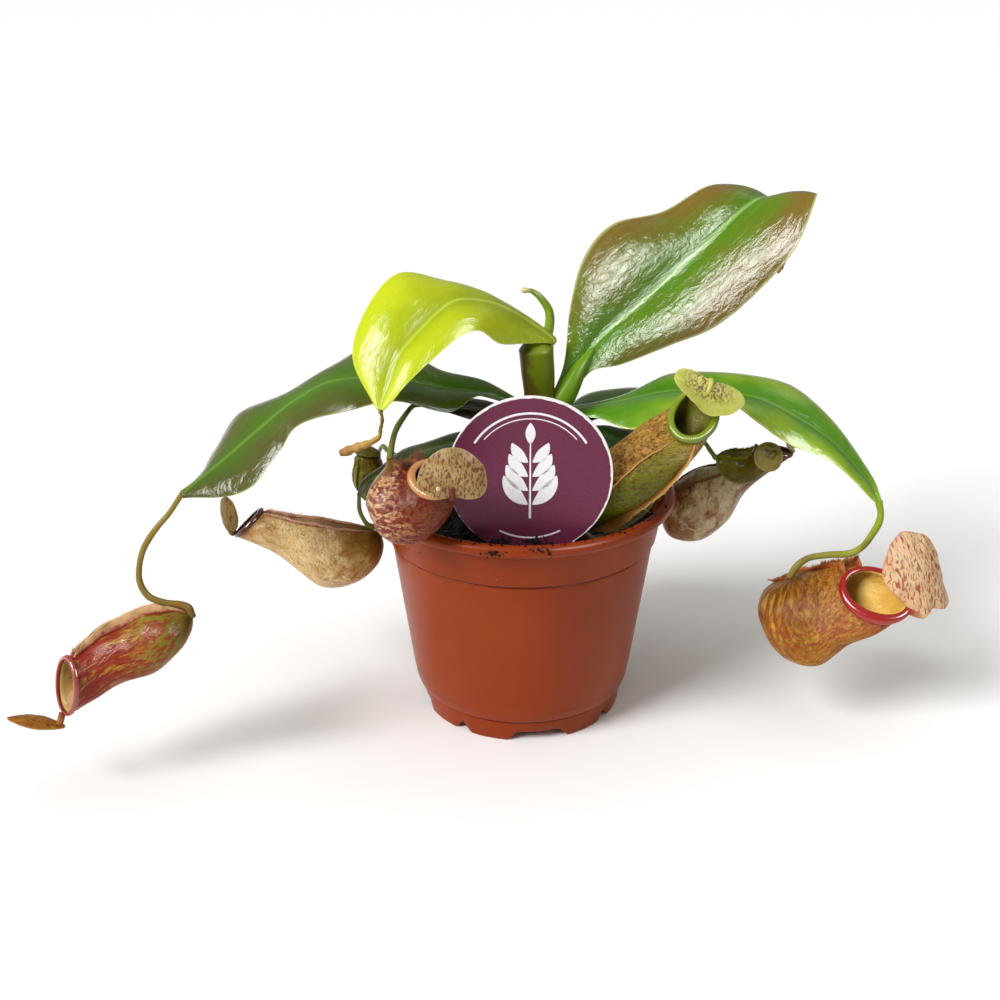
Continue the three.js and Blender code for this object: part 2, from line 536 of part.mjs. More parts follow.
const PITCHERS = {
  far_left: {
    colour: '#a8503f', wing: 2.6, rise: 0.2, across: [[0, -1, 0.1], [0.62, -0.78, 0]],
    rings: [
      [[-90.9, -45, 50.4], [-89.7, -45, 49.2], 0.9],
      [[-94, -45, 51.2], [-90.4, -46, 45.2], 4],
      [[-98, -45.6, 51], [-93.4, -47, 40.4], 6.8],
      [[-103.2, -46, 49.8], [-100, -48, 35], 8],
      [[-109, -46.4, 46.8], [-106.4, -48.4, 32.6], 7.4],
      [[-113.6, -48, 45.2], [-112.2, -50, 31], 6.5],
      [[-118, -50.4, 42.6], [-118, -52, 27.8], 6.2],
      [[-121.2, -53.6, 41.2], [-124, -54.6, 25], 6.3],
    ],
    lip: 0.85,
    lid: {
      middle: [-131.9, -56.8, 23.2], length: [-7.8, 0, 1.4], side: [-0.6, 4.8, -0.6], rise: 1,
      outline: [1, 0.85, 0.81, 0.83, 0.85, 0.83, 0.81, 0.85, 0.97, 0.85, 0.81, 0.83, 0.85, 0.83, 0.81, 0.85],
    },
  },
  mid_left: {
    colour: '#b89455', wing: 2, rise: 0.3, across: [[0, -1, 0.1], [0, -1, 0.1]],
    rings: [
      [[-43.8, 0, 54.2], [-42.2, 0, 52.6], 0.9],
      [[-46.6, 0, 55], [-41.8, -1, 49.2], 4.3],
      [[-51, 0.4, 55.4], [-44, -2, 44], 7.3],
      [[-56.2, 1, 56], [-50.2, -3, 38.6], 8.8],
      [[-62, 1, 57.2], [-59.8, -3, 37.6], 8.6],
      [[-68, 1, 57.8], [-67.6, -2, 42.8], 7],
      [[-72.8, 1, 59], [-74.8, -1, 48.6], 6],
      [[-77.8, 1.6, 60], [-85.6, 1, 52.2], 5.7],
    ],
    lip: 0.7,
    lid: {
      middle: [-87.8, 0.2, 59.4], length: [-0.6, 0.4, 6.2], side: [3.3, -4.1, 1.6], rise: 1,
      outline: [0.95, 0.93, 0.95, 1, 1, 1, 0.95, 0.9, 0.88, 0.9, 0.95, 1, 1, 1, 0.95, 0.93],
    },
  },
  front_left: {
    colour: '#b5794a', wing: 2.2, rise: 0.3, across: [[-0.1, 1, -0.2], [0.65, 0.75, 0.14]],
    rings: [
      [[-35.5, -30.5, 89.2], [-37.1, -30.5, 89.2], 0.9],
      [[-32.4, -31, 88.4], [-37.8, -31.5, 87], 4.2],
      [[-31.6, -31.5, 88.6], [-41.6, -33.5, 82.6], 7],
      [[-31.2, -32.5, 88.6], [-41.4, -36.5, 77.5], 8.5],
      [[-30.8, -33.5, 88.6], [-37.9, -39.5, 72], 9.4],
      [[-30.4, -34.5, 88.6], [-31.6, -41.5, 69.6], 9.6],
      [[-29.8, -35.5, 88.8], [-25.2, -43.5, 72.4], 9],
      [[-29, -36.2, 89], [-21, -44.4, 78], 7.6],
      [[-28.4, -36.8, 89.4], [-20.2, -44.6, 84.4], 6.2],
    ],
    lip: 1.1,
    lid: {
      middle: [-18.8, -47.2, 91], length: [0.4, 0.6, 7.8], side: [9.2, -0.4, 0.2], rise: 1.8,
      outline: [0.99, 0.92, 0.89, 0.9, 0.94, 1.02, 1.07, 0.84, 0.76, 0.86, 1.05, 1.03, 1, 0.94, 0.95, 0.97],
    },
  },
  right_front: {
    colour: '#a67f3a', wing: 2.4, rise: 2.6, across: [[-0.85, -0.3, 0.4], [-0.93, 0.34, 0.12]],
    rings: [
      [[17.9, -25.7, 65.6], [16.5, -24.5, 65.9], 0.9],
      [[20.9, -28.2, 70.2], [18.3, -19.3, 72.4], 4.8],
      [[25.9, -30.4, 75.9], [23.1, -14.8, 77.2], 8.4],
      [[32, -31.4, 82.6], [30, -12.8, 82.8], 9.8],
      [[37.4, -30, 87.6], [37, -12.4, 89.8], 9.2],
      [[41, -27.8, 90.4], [43.8, -12, 96.2], 7.6],
      [[43.6, -25.6, 92.6], [49.2, -12.2, 100.6], 6],
    ],
    lip: 1.25,
    lid: {
      middle: [50.2, -19.6, 103.6], length: [-1.5, -6, -4.4], side: [9.6, 0, -3.4], rise: 1.2,
      outline: [0.8, 0.8, 0.79, 0.86, 0.97, 1.13, 1.02, 0.78, 0.65, 0.85, 1.17, 1.07, 0.84, 0.69, 0.64, 0.7],
    },
  },
  right_back: {
    colour: '#b09a5c', wing: 1.8, rise: 0.3, across: [[0, 1, 0], [0.1, 1, 0]],
    rings: [
      [[46.1, 22, 59.4], [44.4, 22, 59], 0.9],
      [[48.2, 22, 60], [43.4, 22.5, 52.5], 4.3],
      [[51.6, 22, 62.6], [46.8, 22.5, 43.5], 8.4],
      [[56, 22, 65], [57, 22.5, 42], 9.8],
      [[62, 23, 66], [65, 23, 48], 8.5],
      [[66.5, 24, 66.8], [70, 24, 57], 6.1],
      [[71.6, 25, 67.8], [77, 25, 63], 4.6],
      [[77.6, 26, 69.8], [84.4, 25, 68.8], 3.6],
    ],
    lip: 0.7,
    lid: {
      middle: [84, 25.4, 74.6], length: [-0.4, 0.6, 4], side: [2.4, 3.2, -0.6], rise: 0.8,
      outline: [1, 0.97, 0.95, 0.97, 1, 1, 0.98, 0.92, 0.88, 0.92, 0.98, 1, 1, 0.97, 0.95, 0.97],
    },
  },
  far_right: {
    colour: '#b5752c', wing: 3.2, rise: 0.4, across: [[-0.2, 0.95, -0.3], [0.67, 0.55, 0.49]],
    rings: [
      [[79.9, -12, 45.3], [78.3, -12, 44.1], 0.9],
      [[82, -12, 44.8], [72, -14, 41.6], 4.9],
      [[83.8, -12, 45.4], [69.2, -17, 37.2], 8.7],
      [[85.4, -12, 45.8], [70.8, -19, 30.4], 10.6],
      [[87.4, -12.4, 46.6], [78.6, -21, 23.6], 11.6],
      [[89.8, -13, 47], [88, -23, 24], 11.4],
      [[92, -14.2, 47.4], [95.4, -25, 31.4], 10.2],
      [[93.4, -15.6, 47.6], [103, -27, 35.4], 9],
      [[93.8, -17, 47.2], [108.8, -28.4, 41.4], 7.6],
    ],
    lip: 1.25,
    lid: {
      middle: [112.2, -23.6, 52], length: [-1.8, 4.8, 11], side: [9.8, 2.4, -3.4], rise: 2,
      outline: [0.98, 1.04, 1.01, 0.85, 0.88, 1.08, 1.05, 0.87, 1.01, 1.07, 1.03, 1.16, 1.05, 0.94, 0.91,
        0.96],
    },
  },
  small_left: {
    colour: '#55661f', wing: 0.8, young: true, rise: 0, across: [[-0.35, 0.94, 0], [-0.35, 0.94, 0]],
    rings: [
      [[-49.4, 26, 53], [-48, 26, 53], 0.8],
      [[-51, 26, 55.2], [-46.8, 26, 55.2], 2.2],
      [[-52.4, 25.2, 59], [-44.6, 27.2, 57.8], 3.8],
      [[-52.4, 24.6, 62.8], [-43.2, 28, 61.2], 4.5],
      [[-51.8, 24.8, 65.8], [-43.6, 27.8, 64.8], 3.9],
      [[-51.6, 25, 68.4], [-44.4, 27.6, 67.8], 3.6],
    ],
    lid: {
      middle: [-48.2, 26.2, 69.4], length: [-3.8, -1.6, 0.6], side: [-1.6, 3.6, 0], rise: 1.8,
      outline: [1, 1, 1, 1, 1, 1, 1, 1, 1, 1, 1, 1, 1, 1, 1, 1],
    },
  },
  small_right: {
    colour: '#5a5f22', wing: 1, young: true, rise: 0, across: [[0.2, 0.98, 0], [0.58, 0.77, 0.22]],
    rings: [
      [[57.6, 4, 77.3], [57.2, 4, 75.7], 0.8],
      [[59.5, 4, 77.8], [58.2, 4, 73], 3],
      [[61.7, 3.8, 78], [61.7, 3.8, 69.4], 4.3],
      [[64.6, 2.6, 78.4], [65.6, 2.6, 69.2], 4.7],
      [[66.6, 0.4, 79.8], [69.6, 0, 71.2], 4.4],
      [[67.6, -1.6, 81.8], [72, -3, 75.2], 3.8],
    ],
    lid: {
      middle: [71.2, -3.8, 79.6], length: [-2.4, 0.6, 3.8], side: [3.8, 2, 1.6], rise: 1.2,
      outline: [1, 1, 1, 1, 1, 1, 1, 1, 1, 1, 1, 1, 1, 1, 1, 1],
    },
  },
};

// One ring's frame: its middle, half axis from front seam to back, half width axis and way out
function ringFrame({ rings, across }, u) {
  const front = rings.map((row) => row[0]);
  const back = rings.map((row) => row[1]);
  const middles = rings.map((row) => row[0].map((value, k) => (value + row[1][k]) / 2));
  const deep = along(back, u).sub(along(front, u)).multiplyScalar(0.5);
  const side = vector(across[0]).lerp(vector(across[1]), u).normalize();
  const out = new THREE.Vector3().crossVectors(deep, side).normalize();
  side.multiplyScalar(along(rings.map((row) => row[2]), u));
  return { centre: along(middles, u), deep, side, out };
}

function ringPoint({ centre, deep, side }, angle, scale) {
  return centre.clone()
    .addScaledVector(deep, -scale * Math.cos(angle))
    .addScaledVector(side, scale * Math.sin(angle));
}

// A ring with its two wings standing out as thin ridges beside the front seam
function wingedRing(frame, height) {
  const radius = (frame.deep.length() + frame.side.length()) / 2;
  const root = Math.min(WING_THICKNESS / 2 / radius, WING_ANGLE / 3);
  const points = [];
  const wing = (centreAngle) => {
    const out = ringPoint(frame, centreAngle, 1).sub(frame.centre).normalize();
    for (const [turn, reach] of [[-1, 0], [-0.7, 1], [0.7, 1], [1, 0]]) {
      points.push(ringPoint(frame, centreAngle + turn * root, 1).addScaledVector(out, reach * height));
    }
  };
  wing(-WING_ANGLE);
  points.push(ringPoint(frame, 0, 1));
  wing(WING_ANGLE);
  for (const degrees of [60, 90, 120, 150, 180, 210, 240, 270, 300]) {
    points.push(ringPoint(frame, THREE.MathUtils.degToRad(degrees), 1));
  }
  return points;
}

function pitcher(parts) {
  const { rings, wing, young } = parts;
  const steps = Math.round(1.5 * rings.length);
  const loops = [];
  for (let i = 0; i <= steps; i += 1) {
    const u = i / steps;
    const frayed = 0.8 + 0.2 * (i % 2);
    const height = 0.1 + wing * frayed * Math.sin(Math.PI * Math.min(1.15 * u, 1)) ** 0.7;
    loops.push(wingedRing(ringFrame(parts, u), height));
  }
  if (!young) {
    for (const u of [1, 0.88, 0.72, 0.56]) {
      const frame = ringFrame(parts, u);
      const narrow = 1 - CUP_WALL / Math.min(frame.deep.length(), frame.side.length());
      frame.deep.multiplyScalar(narrow);
      frame.side.multiplyScalar(narrow);
      loops.push(wingedRing(frame, 0.02));
    }
  }
  return loftRings(loops);
}

// Lip: the rolled ring round the mouth, lifted at the back towards the lid
function lip(parts, extra) {
  const { centre, deep, side, out } = ringFrame(parts, 1);
  const across = 18;
  const section = 6;
  const points = [];
  for (let i = 0; i < across; i += 1) {
    const angle = (2 * Math.PI * i) / across;
    const onRing = ringPoint({ centre, deep, side }, angle, 1);
    const outward = onRing.clone().sub(centre).normalize();
    const lift = GAP + LIP_HALF_HEIGHT + parts.rise * Math.max(0, -Math.cos(angle)) ** 2;
    for (let j = 0; j < section; j += 1) {
      const turn = (2 * Math.PI * j) / section;
      points.push(onRing.clone()
        .addScaledVector(outward, (parts.lip + extra) * Math.cos(turn))
        .addScaledVector(out, lift + (LIP_HALF_HEIGHT + extra) * Math.sin(turn)));
    }
  }
  const faces = [];
  for (let i = 0; i < across; i += 1) {
    for (let j = 0; j < section; j += 1) {
      const [next, turned] = [(i + 1) % across, (j + 1) % section];
      const [a, b] = [i * section + j, i * section + turned];
      const [c, d] = [next * section + turned, next * section + j];
      faces.push([a, b, c], [a, c, d]);
    }
  }
  return closedMesh(points, faces);
}

// Lid: a domed leaf, over the lip's back edge or closed over a young mouth
function lid(shape) {
  const length = vector(shape.length);
  const width = vector(shape.side);
  const middle = vector(shape.middle);
  const up = new THREE.Vector3().crossVectors(width, length).normalize();
  const spokes = LID_SPOKES;
  const bands = [0, 0.4, 0.75, 1];
  const surface = (offset) => bands.flatMap((band) => {
    const count = band === 0 ? 1 : spokes;
    return Array.from({ length: count }, (_, j) => {
      const angle = (2 * Math.PI * j) / spokes;
      const reach = band * shape.outline[j];
      return middle.clone()
        .addScaledVector(length, reach * Math.cos(angle))
        .addScaledVector(width, reach * Math.sin(angle))
        .addScaledVector(up, shape.rise * (1 - band * band) + offset);
    });
  });
  const points = [...surface(LID_THICKNESS / 2), ...surface(-LID_THICKNESS / 2)];
  const count = points.length / 2;
  const faces = [];
  const at = (ring, j) => (ring === 0 ? 0 : 1 + (ring - 1) * spokes + (j % spokes));
  for (let j = 0; j < spokes; j += 1) {
    faces.push([0, at(1, j), at(1, j + 1)], [count, count + at(1, j + 1), count + at(1, j)]);
    for (let ring = 1; ring + 1 < bands.length; ring += 1) {
      const [a, b, c, d] = [at(ring, j), at(ring, j + 1), at(ring + 1, j + 1), at(ring + 1, j)];
      faces.push([a, d, c], [a, c, b], [count + a, count + c, count + d], [count + a, count + b, count + c]);
    }
    const [edge, next] = [at(bands.length - 1, j), at(bands.length - 1, j + 1)];
    faces.push([edge, count + edge, count + next], [edge, count + next, next]);
  }
  return closedMesh(points, faces);
}

// A lid's neck: a short stalk from the middle of the lip's back to the lid
function lidNeck(parts) {
  const frame = ringFrame(parts, 1);
  const { rise, outline } = parts.lid;
  const middle = vector(parts.lid.middle);
  const length = vector(parts.lid.length);
  const up = new THREE.Vector3().crossVectors(vector(parts.lid.side), length).normalize();
  const onLip = ringPoint(frame, Math.PI, 1)
    .addScaledVector(frame.out, GAP + LIP_HALF_HEIGHT + parts.rise);
  const atHinge = middle.clone().addScaledVector(length, -outline[LID_SPOKES / 2]);
  const underLid = middle.clone()
    .addScaledVector(length, -LID_NECK_REACH)
    .addScaledVector(up, rise * (1 - LID_NECK_REACH ** 2));
  const line = [onLip, atHinge, underLid].map((point) => point.toArray());
  return shoot(line, LID_NECK_RADII, LID_NECK_STEPS, LID_NECK_SIDES, 0);
}

// The whole plant in its pot

const root = new THREE.Group();

function add(name, geometry, colour, roughness) {
  geometry.computeVertexNormals();
  const material = new THREE.MeshStandardMaterial({ color: colour, roughness, metalness: 0 });
  const mesh = new THREE.Mesh(geometry, material);
  mesh.name = name;
  root.add(mesh);
}

add('pot', pot(), '#9d3f1c', 0.4);
add('soil', soil(), '#1f1712', 1);
add('tag', tag(0), '#6b2345', 0.5);
add('stem', stem(0), '#5f6f2a', 0.5);
add('new_shoot', shoot(NEW_SHOOT.line, NEW_SHOOT.radii, 10, 8, 0), '#7da03a', 0.4);
for (const [name, leaf] of Object.entries(LEAVES)) {
  add(name, subtract(blade(leaf), [stem(GAP)]), leaf.colour, 0.35);
}
for (const [name, { line, radii }] of Object.entries(TENDRILS)) {
  add(name, shoot(line, radii, 2 * line.length, 6, 0), '#8a7a3a', 0.5);
}
for (const [name, parts] of Object.entries(PITCHERS)) {
  const { line, radii } = TENDRILS[`tendril_${name}`];
  const socket = shoot(line, radii, 2 * line.length, 6, GAP);
  const body = subtract(pitcher(parts), [socket]);
  add(`pitcher_${name}`, body, parts.colour, 0.5);
  if (parts.young) {
    add(`lid_${name}`, lid(parts.lid), '#c9ae6a', 0.5);
  } else {
    add(`lip_${name}`, lip(parts, 0), '#a33a34', 0.3);
    const whole = join(lid(parts.lid), lidNeck(parts));
    add(`lid_${name}`, subtract(whole, [lip(parts, GAP)]), '#c9ae6a', 0.5);
  }
}

// The origin is on the surface it stands on, under the middle of the whole outline
const box = new THREE.Box3().setFromObject(root);
const middle = box.getCenter(new THREE.Vector3());
root.position.set(-middle.x, -middle.y, 0);

export default root;
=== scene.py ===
"""A tropical pitcher plant in a nursery pot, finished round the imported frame.

Lengths are millimetres from the pot's axis and from the surface that it stands on, until skin_mesh puts them
in place in metres. Hex colours are sRGB.
"""
import json

import bpy
import numpy as np
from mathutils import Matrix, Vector

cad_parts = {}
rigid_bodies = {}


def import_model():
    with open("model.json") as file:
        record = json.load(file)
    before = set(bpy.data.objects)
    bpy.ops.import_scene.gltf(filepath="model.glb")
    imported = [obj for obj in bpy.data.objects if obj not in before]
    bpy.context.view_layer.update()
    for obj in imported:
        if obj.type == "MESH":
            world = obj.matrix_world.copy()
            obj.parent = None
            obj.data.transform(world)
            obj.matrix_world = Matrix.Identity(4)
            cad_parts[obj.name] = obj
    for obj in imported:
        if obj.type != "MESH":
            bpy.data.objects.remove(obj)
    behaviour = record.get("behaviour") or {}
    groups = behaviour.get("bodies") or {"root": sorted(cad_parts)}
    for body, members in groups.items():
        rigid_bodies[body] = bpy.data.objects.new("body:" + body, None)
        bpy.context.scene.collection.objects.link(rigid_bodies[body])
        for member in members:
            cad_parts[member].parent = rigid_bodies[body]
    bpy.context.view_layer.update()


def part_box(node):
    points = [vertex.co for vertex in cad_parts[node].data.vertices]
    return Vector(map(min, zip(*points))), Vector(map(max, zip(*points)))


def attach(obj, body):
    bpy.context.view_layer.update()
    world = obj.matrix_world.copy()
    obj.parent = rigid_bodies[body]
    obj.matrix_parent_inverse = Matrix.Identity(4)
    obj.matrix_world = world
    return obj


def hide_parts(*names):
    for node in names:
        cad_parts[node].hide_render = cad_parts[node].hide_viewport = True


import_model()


# Pot: a low nursery pot, injection moulded in terracotta coloured polypropylene, about 1.2 mm thick.
# It has a rolled rim, a collar with a small step below it, and a foot ring with notches that let water out.

POT_RIM_RADIUS = 45
POT_HEIGHT = 69.4
BEAD_RADIUS = 1.9
WALL = 1.2
FLOOR_BOTTOM = 3.4
FOOT_RADIUS = 30.1
FOOT_INNER_RADIUS = 27.6
FOOT_TOP = 6.6
COLLAR_STEP = 54.7
BEAD_BOTTOM = 65.5
BEAD_TURNS = [-110, -80, -50, -20, 10, 40, 70, 100, 130, 160, 185]
HUB_RADIUS = 0.4
FLOOR_MIDDLE = 15
COLUMNS = 300
CORNER_RADIUS = 0.5
CORNER_STEPS = 5
GROOVE_SHADE_HALF_WIDTH = 0.3
NOTCHES = 8
NOTCH_HEIGHT = 2.9
NOTCH_WIDTHS = [3.6, 16]
NOTCH_START = -36
NOTCH_EASE_IN, NOTCH_EASE_OUT = 2, 1.6
DRAIN_HOLES = 6
DRAIN_HOLE_RADIUS = 3
DRAIN_HOLE_SIDES = 32
DRAIN_RING_RADIUS = 18
PUNCH_BOTTOM, PUNCH_TOP = 1, 7
SHARP_EDGE = 50
lowest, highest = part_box("pot")
POT_AXIS = np.array([(lowest.x + highest.x) / 2, (lowest.y + highest.y) / 2, 0])
METRES = 0.001


def skin_mesh(name, points, faces, marks=None):
    """A mesh from points in mm and faces. Where the sum of a.(b x c) over its triangles, six times its
    volume, is negative, its faces are turned out."""
    fans = np.array([face[:3] for face in faces])
    if len(faces[0]) == 4:
        fans = np.concatenate([fans, np.array([[face[0], face[-2], face[-1]] for face in faces])])
    a, b, c = points[fans[:, 0]], points[fans[:, 1]], points[fans[:, 2]]
    if np.einsum("ij,ij->", a, np.cross(b, c)) < 0:
        faces = [face[::-1] for face in faces]
    mesh = bpy.data.meshes.new(name)
    mesh.from_pydata((points * METRES + POT_AXIS).tolist(), [], faces)
    mesh.shade_smooth()
    for title, values in (marks or {}).items():
        kind, field = ("FLOAT_VECTOR", "vector") if values.ndim == 2 else ("FLOAT", "value")
        mesh.attributes.new(title, kind, "POINT").data.foreach_set(field, values.astype(np.float32).ravel())
    return mesh


def lofted(name, loops, marks=None, joined=False):
    """A closed skin over loops[i, j]: faces join each loop to the next, and a fan from its mean closes each
    end.

    Where joined, the last loop meets the first instead. marks are values held at each point of the loops.
    """
    rows, sides, _ = loops.shape
    i, j = np.meshgrid(np.arange(rows if joined else rows - 1), np.arange(sides), indexing="ij")
    beside, below = (j + 1) % sides, (i + 1) % rows
    quads = np.stack([i * sides + j, i * sides + beside, below * sides + beside, below * sides + j], -1)
    faces = quads.reshape(-1, 4).tolist()
    points = loops.reshape(-1, 3)
    flat = {title: v.reshape(rows * sides, *v.shape[2:]) for title, v in (marks or {}).items()}
    if not joined:
        points = np.concatenate([points, loops[[0, -1]].mean(axis=1)])
        flat = {t: np.concatenate([flat[t], marks[t][[0, -1]].mean(axis=1)]) for t in flat}
        here = np.arange(sides)
        turn, last, hub = (here + 1) % sides, (rows - 1) * sides, rows * sides
        faces += np.stack([np.full(sides, hub), turn, here], -1).tolist()
        faces += np.stack([np.full(sides, hub + 1), last + here, last + turn], -1).tolist()
    return skin_mesh(name, points, faces, flat)


def settle(mesh, material, slot, *stands_for):
    """Puts a finished mesh into the scene as a piece of the one rigid body, in place of the nodes it stands
    for."""
    piece = bpy.data.objects.new(mesh.name, mesh)
    bpy.context.scene.collection.objects.link(piece)
    mesh.materials.append(material)
    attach(piece, "root")
    if stands_for:
        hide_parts(*stands_for)
    return piece


def paint(code):
    """An sRGB hex colour as linear red, green, blue and alpha."""
    srgb = np.array([int(code[k:k + 2], 16) / 255 for k in (1, 3, 5)])
    linear = np.where(srgb <= 0.04045, srgb / 12.92, ((srgb + 0.055) / 1.055) ** 2.4)
    return (*linear.tolist(), 1)


def feed(node, inputs):
    """Sets a node's sockets to numbers, hex colours or links. A node given stands for its first output."""
    for key, value in inputs.items():
        if isinstance(value, bpy.types.Node):
            value = value.outputs[0]
        if isinstance(value, bpy.types.NodeSocket):
            node.id_data.links.new(value, node.inputs[key])
        else:
            node.inputs[key].default_value = paint(value) if isinstance(value, str) else value


def add_node(tree, kind, inputs=None, stops=None, **settings):
    """Adds one shader node: settings are its properties, inputs what its sockets get, and stops the places
    and colours of a ramp."""
    made = tree.nodes.new("ShaderNode" + kind)
    for title, value in settings.items():
        setattr(made, title, value)
    feed(made, inputs or {})
    for k, (place, colour) in enumerate(stops or []):
        if k > 1:
            made.color_ramp.elements.new(place)
        made.color_ramp.elements[k].position = place
        made.color_ramp.elements[k].color = paint(colour)
    return made


def new_material(name, **values):
    """A material whose one Principled shader has the values given by socket name, underscores for spaces."""
    material = bpy.data.materials.new(name)
    material.use_nodes = True
    shader = material.node_tree.nodes["Principled BSDF"]
    feed(shader, {title.replace("_", " "): value for title, value in values.items()})
    return material, material.node_tree, shader


def smoothstep(low, high, values):
    """0 below low, 1 above high, and 3t^2 - 2t^3 between."""
    t = np.clip((values - low) / (high - low), 0, 1)
    return t * t * (3 - 2 * t)


def rounded(profile, radius, steps):
    """Each corner of a profile becomes a curve (1-t)^2 a + 2t(1-t) p + t^2 b from one side to the other."""
    before, after = profile[:-2] - profile[1:-1], profile[2:] - profile[1:-1]
    reach = [np.minimum(radius / np.linalg.norm(v, axis=1), 0.45)[:, None] * v for v in (before, after)]
    t = np.linspace(0, 1, steps)[None, :, None]
    corner = profile[1:-1, None]
    curve = corner + (1 - t) ** 2 * reach[0][:, None] + t ** 2 * reach[1][:, None]
    return np.concatenate([profile[:1], curve.reshape(-1, 2), profile[-1:]])


def moulded_polypropylene():
    """Polypropylene moulded in a polished tool: satin and a little uneven, with pale dust on it and peat
    stains near the rim. Thin dark lines along its grooves are painted shade."""
    material, tree, shader = new_material("moulded_polypropylene", Roughness=0.33, IOR=1.49,
                                          Specular_IOR_Level=0.2)
    place = add_node(tree, "TexCoord").outputs["Object"]
    cloud = add_node(tree, "TexNoise", {"Vector": place, "Scale": 38, "Detail": 3})
    body = add_node(tree, "ValToRGB", {"Fac": cloud}, [(0.3, "#832e01"), (0.72, "#8d3503")])
    dust = add_node(tree, "TexVoronoi", {"Vector": place, "Scale": 420}, feature="F1")
    speck = add_node(tree, "MapRange", {"Value": dust, 1: 0.06, 2: 0.04})
    rare = add_node(tree, "TexNoise", {"Vector": place, "Scale": 90, "Detail": 1})
    here = add_node(tree, "MapRange", {"Value": rare, 1: 0.58, 2: 0.64})
    dusty = add_node(tree, "Math", {0: speck, 1: here}, operation="MULTIPLY")
    pale = add_node(tree, "MixRGB", {"Fac": dusty, "Color1": body, "Color2": "#d9a389"})
    height = add_node(tree, "SeparateXYZ", {0: place}).outputs["Z"]
    rim = add_node(tree, "MapRange", {"Value": height, 1: 0.058, 2: 0.068, 4: 0.62})
    stain = add_node(tree, "TexNoise", {"Vector": place, "Scale": 260, "Detail": 4, "Roughness": 0.65})
    stained = add_node(tree, "MapRange", {"Value": stain, 1: 0.63, 2: 0.7})
    dirty = add_node(tree, "Math", {0: stained, 1: rim}, operation="MULTIPLY")
    colour = add_node(tree, "MixRGB", {"Fac": dirty, "Color1": pale, "Color2": "#3a1a0c"})
    # Painted shade: thin dark lines at the foot's top, the collar's step and under the bead, where the
    # grooves fall in shadow.
    for groove in (FOOT_TOP, COLLAR_STEP, BEAD_BOTTOM):
        groove_shade = add_node(tree, "Math", {0: height, 1: groove * METRES, 2: GROOVE_SHADE_HALF_WIDTH * METRES},
                         operation="COMPARE")
        faded = add_node(tree, "Math", {0: groove_shade, 1: 0.6}, operation="MULTIPLY")
        colour = add_node(tree, "MixRGB", {"Fac": faded, "Color1": colour, "Color2": "#3c1404"})
    grain = add_node(tree, "TexNoise", {"Vector": place, "Scale": 900, "Detail": 2})
    bump = add_node(tree, "Bump", {"Height": grain, "Strength": 0.08, "Distance": 0.0002})
    feed(shader, {"Base Color": colour, "Normal": bump})
    return material


def pot_loops():
    """The profile turned once round the axis, its foot lifted in each notch, less towards the foot's top."""
    bead = np.radians(BEAD_TURNS)
    bead = np.stack([POT_RIM_RADIUS - BEAD_RADIUS + BEAD_RADIUS * np.cos(bead),
                     POT_HEIGHT - BEAD_RADIUS + BEAD_RADIUS * np.sin(bead)], -1)
    outside = [[FOOT_INNER_RADIUS, FLOOR_BOTTOM], [FOOT_INNER_RADIUS, 0], [FOOT_RADIUS, 0], [30.65, 6.25],
               [30.3, FOOT_TOP], [30.9, 6.95], [31.8, 7.2], [32.6, 9.5], [33.4, 14], [36.2, 34], [39, 54.2],
               [38.65, COLLAR_STEP], [39.9, 55.3], [41.2, 64.9]]
    floor_top = FLOOR_BOTTOM + WALL
    inside = [[41.2 - WALL, 64.9], [39.1 - WALL, 54.7], [33.4 - WALL, 14], [32.6 - WALL, 10], [30.3, 8],
              [29.3, floor_top], [FLOOR_MIDDLE, floor_top], [HUB_RADIUS, floor_top]]
    profile = [[HUB_RADIUS, FLOOR_BOTTOM], [FLOOR_MIDDLE, FLOOR_BOTTOM], *outside, *bead, *inside]
    profile = rounded(np.array(profile), CORNER_RADIUS, CORNER_STEPS)
    angle = np.linspace(0, 2 * np.pi, COLUMNS, endpoint=False)
    radius, height = (np.repeat(profile[:, k:k + 1], COLUMNS, 1) for k in (0, 1))
    lift = np.zeros(COLUMNS)
    for k in range(NOTCHES):
        off = np.angle(np.exp(1j * (angle - np.radians(NOTCH_START + 360 / NOTCHES * k)))) * FOOT_RADIUS
        half = NOTCH_WIDTHS[k % 2] / 2
        eased = smoothstep(half - NOTCH_EASE_IN, half + NOTCH_EASE_OUT, np.abs(off))
        lift = np.maximum(lift, NOTCH_HEIGHT * (1 - eased))
    top = np.where(radius > (FOOT_RADIUS + FOOT_INNER_RADIUS) / 2, FOOT_TOP, FLOOR_BOTTOM)
    height = height + lift * np.clip(1 - height / top, 0, 1) * (radius > FOOT_INNER_RADIUS - 0.6)
    return np.stack([radius * np.cos(angle), radius * np.sin(angle), height], -1)


shell = settle(lofted("pot_shell", pot_loops()), moulded_polypropylene(), "pot", "pot")
shell.data.set_sharp_from_angle(angle=np.radians(SHARP_EDGE))
round_hole = np.linspace(0, 2 * np.pi, DRAIN_HOLE_SIDES, endpoint=False)
for k in range(DRAIN_HOLES):
    turn = 2 * np.pi * (k + 0.5) / DRAIN_HOLES
    x = DRAIN_HOLE_RADIUS * np.cos(round_hole) + DRAIN_RING_RADIUS * np.cos(turn)
    y = DRAIN_HOLE_RADIUS * np.sin(round_hole) + DRAIN_RING_RADIUS * np.sin(turn)
    rings = [np.stack([x, y, np.full(DRAIN_HOLE_SIDES, float(z))], -1) for z in (PUNCH_BOTTOM, PUNCH_TOP)]
    punch = bpy.data.objects.new(f"punch_{k}", lofted("punch", np.stack(rings)))
    bpy.context.scene.collection.objects.link(punch)
    cut = shell.modifiers.new("drain_hole", "BOOLEAN")
    cut.object = punch
    cut.operation = "DIFFERENCE"
bpy.context.view_layer.update()
bored = bpy.data.meshes.new_from_object(shell.evaluated_get(bpy.context.evaluated_depsgraph_get()))
shell.modifiers.clear()
shell.data = bored
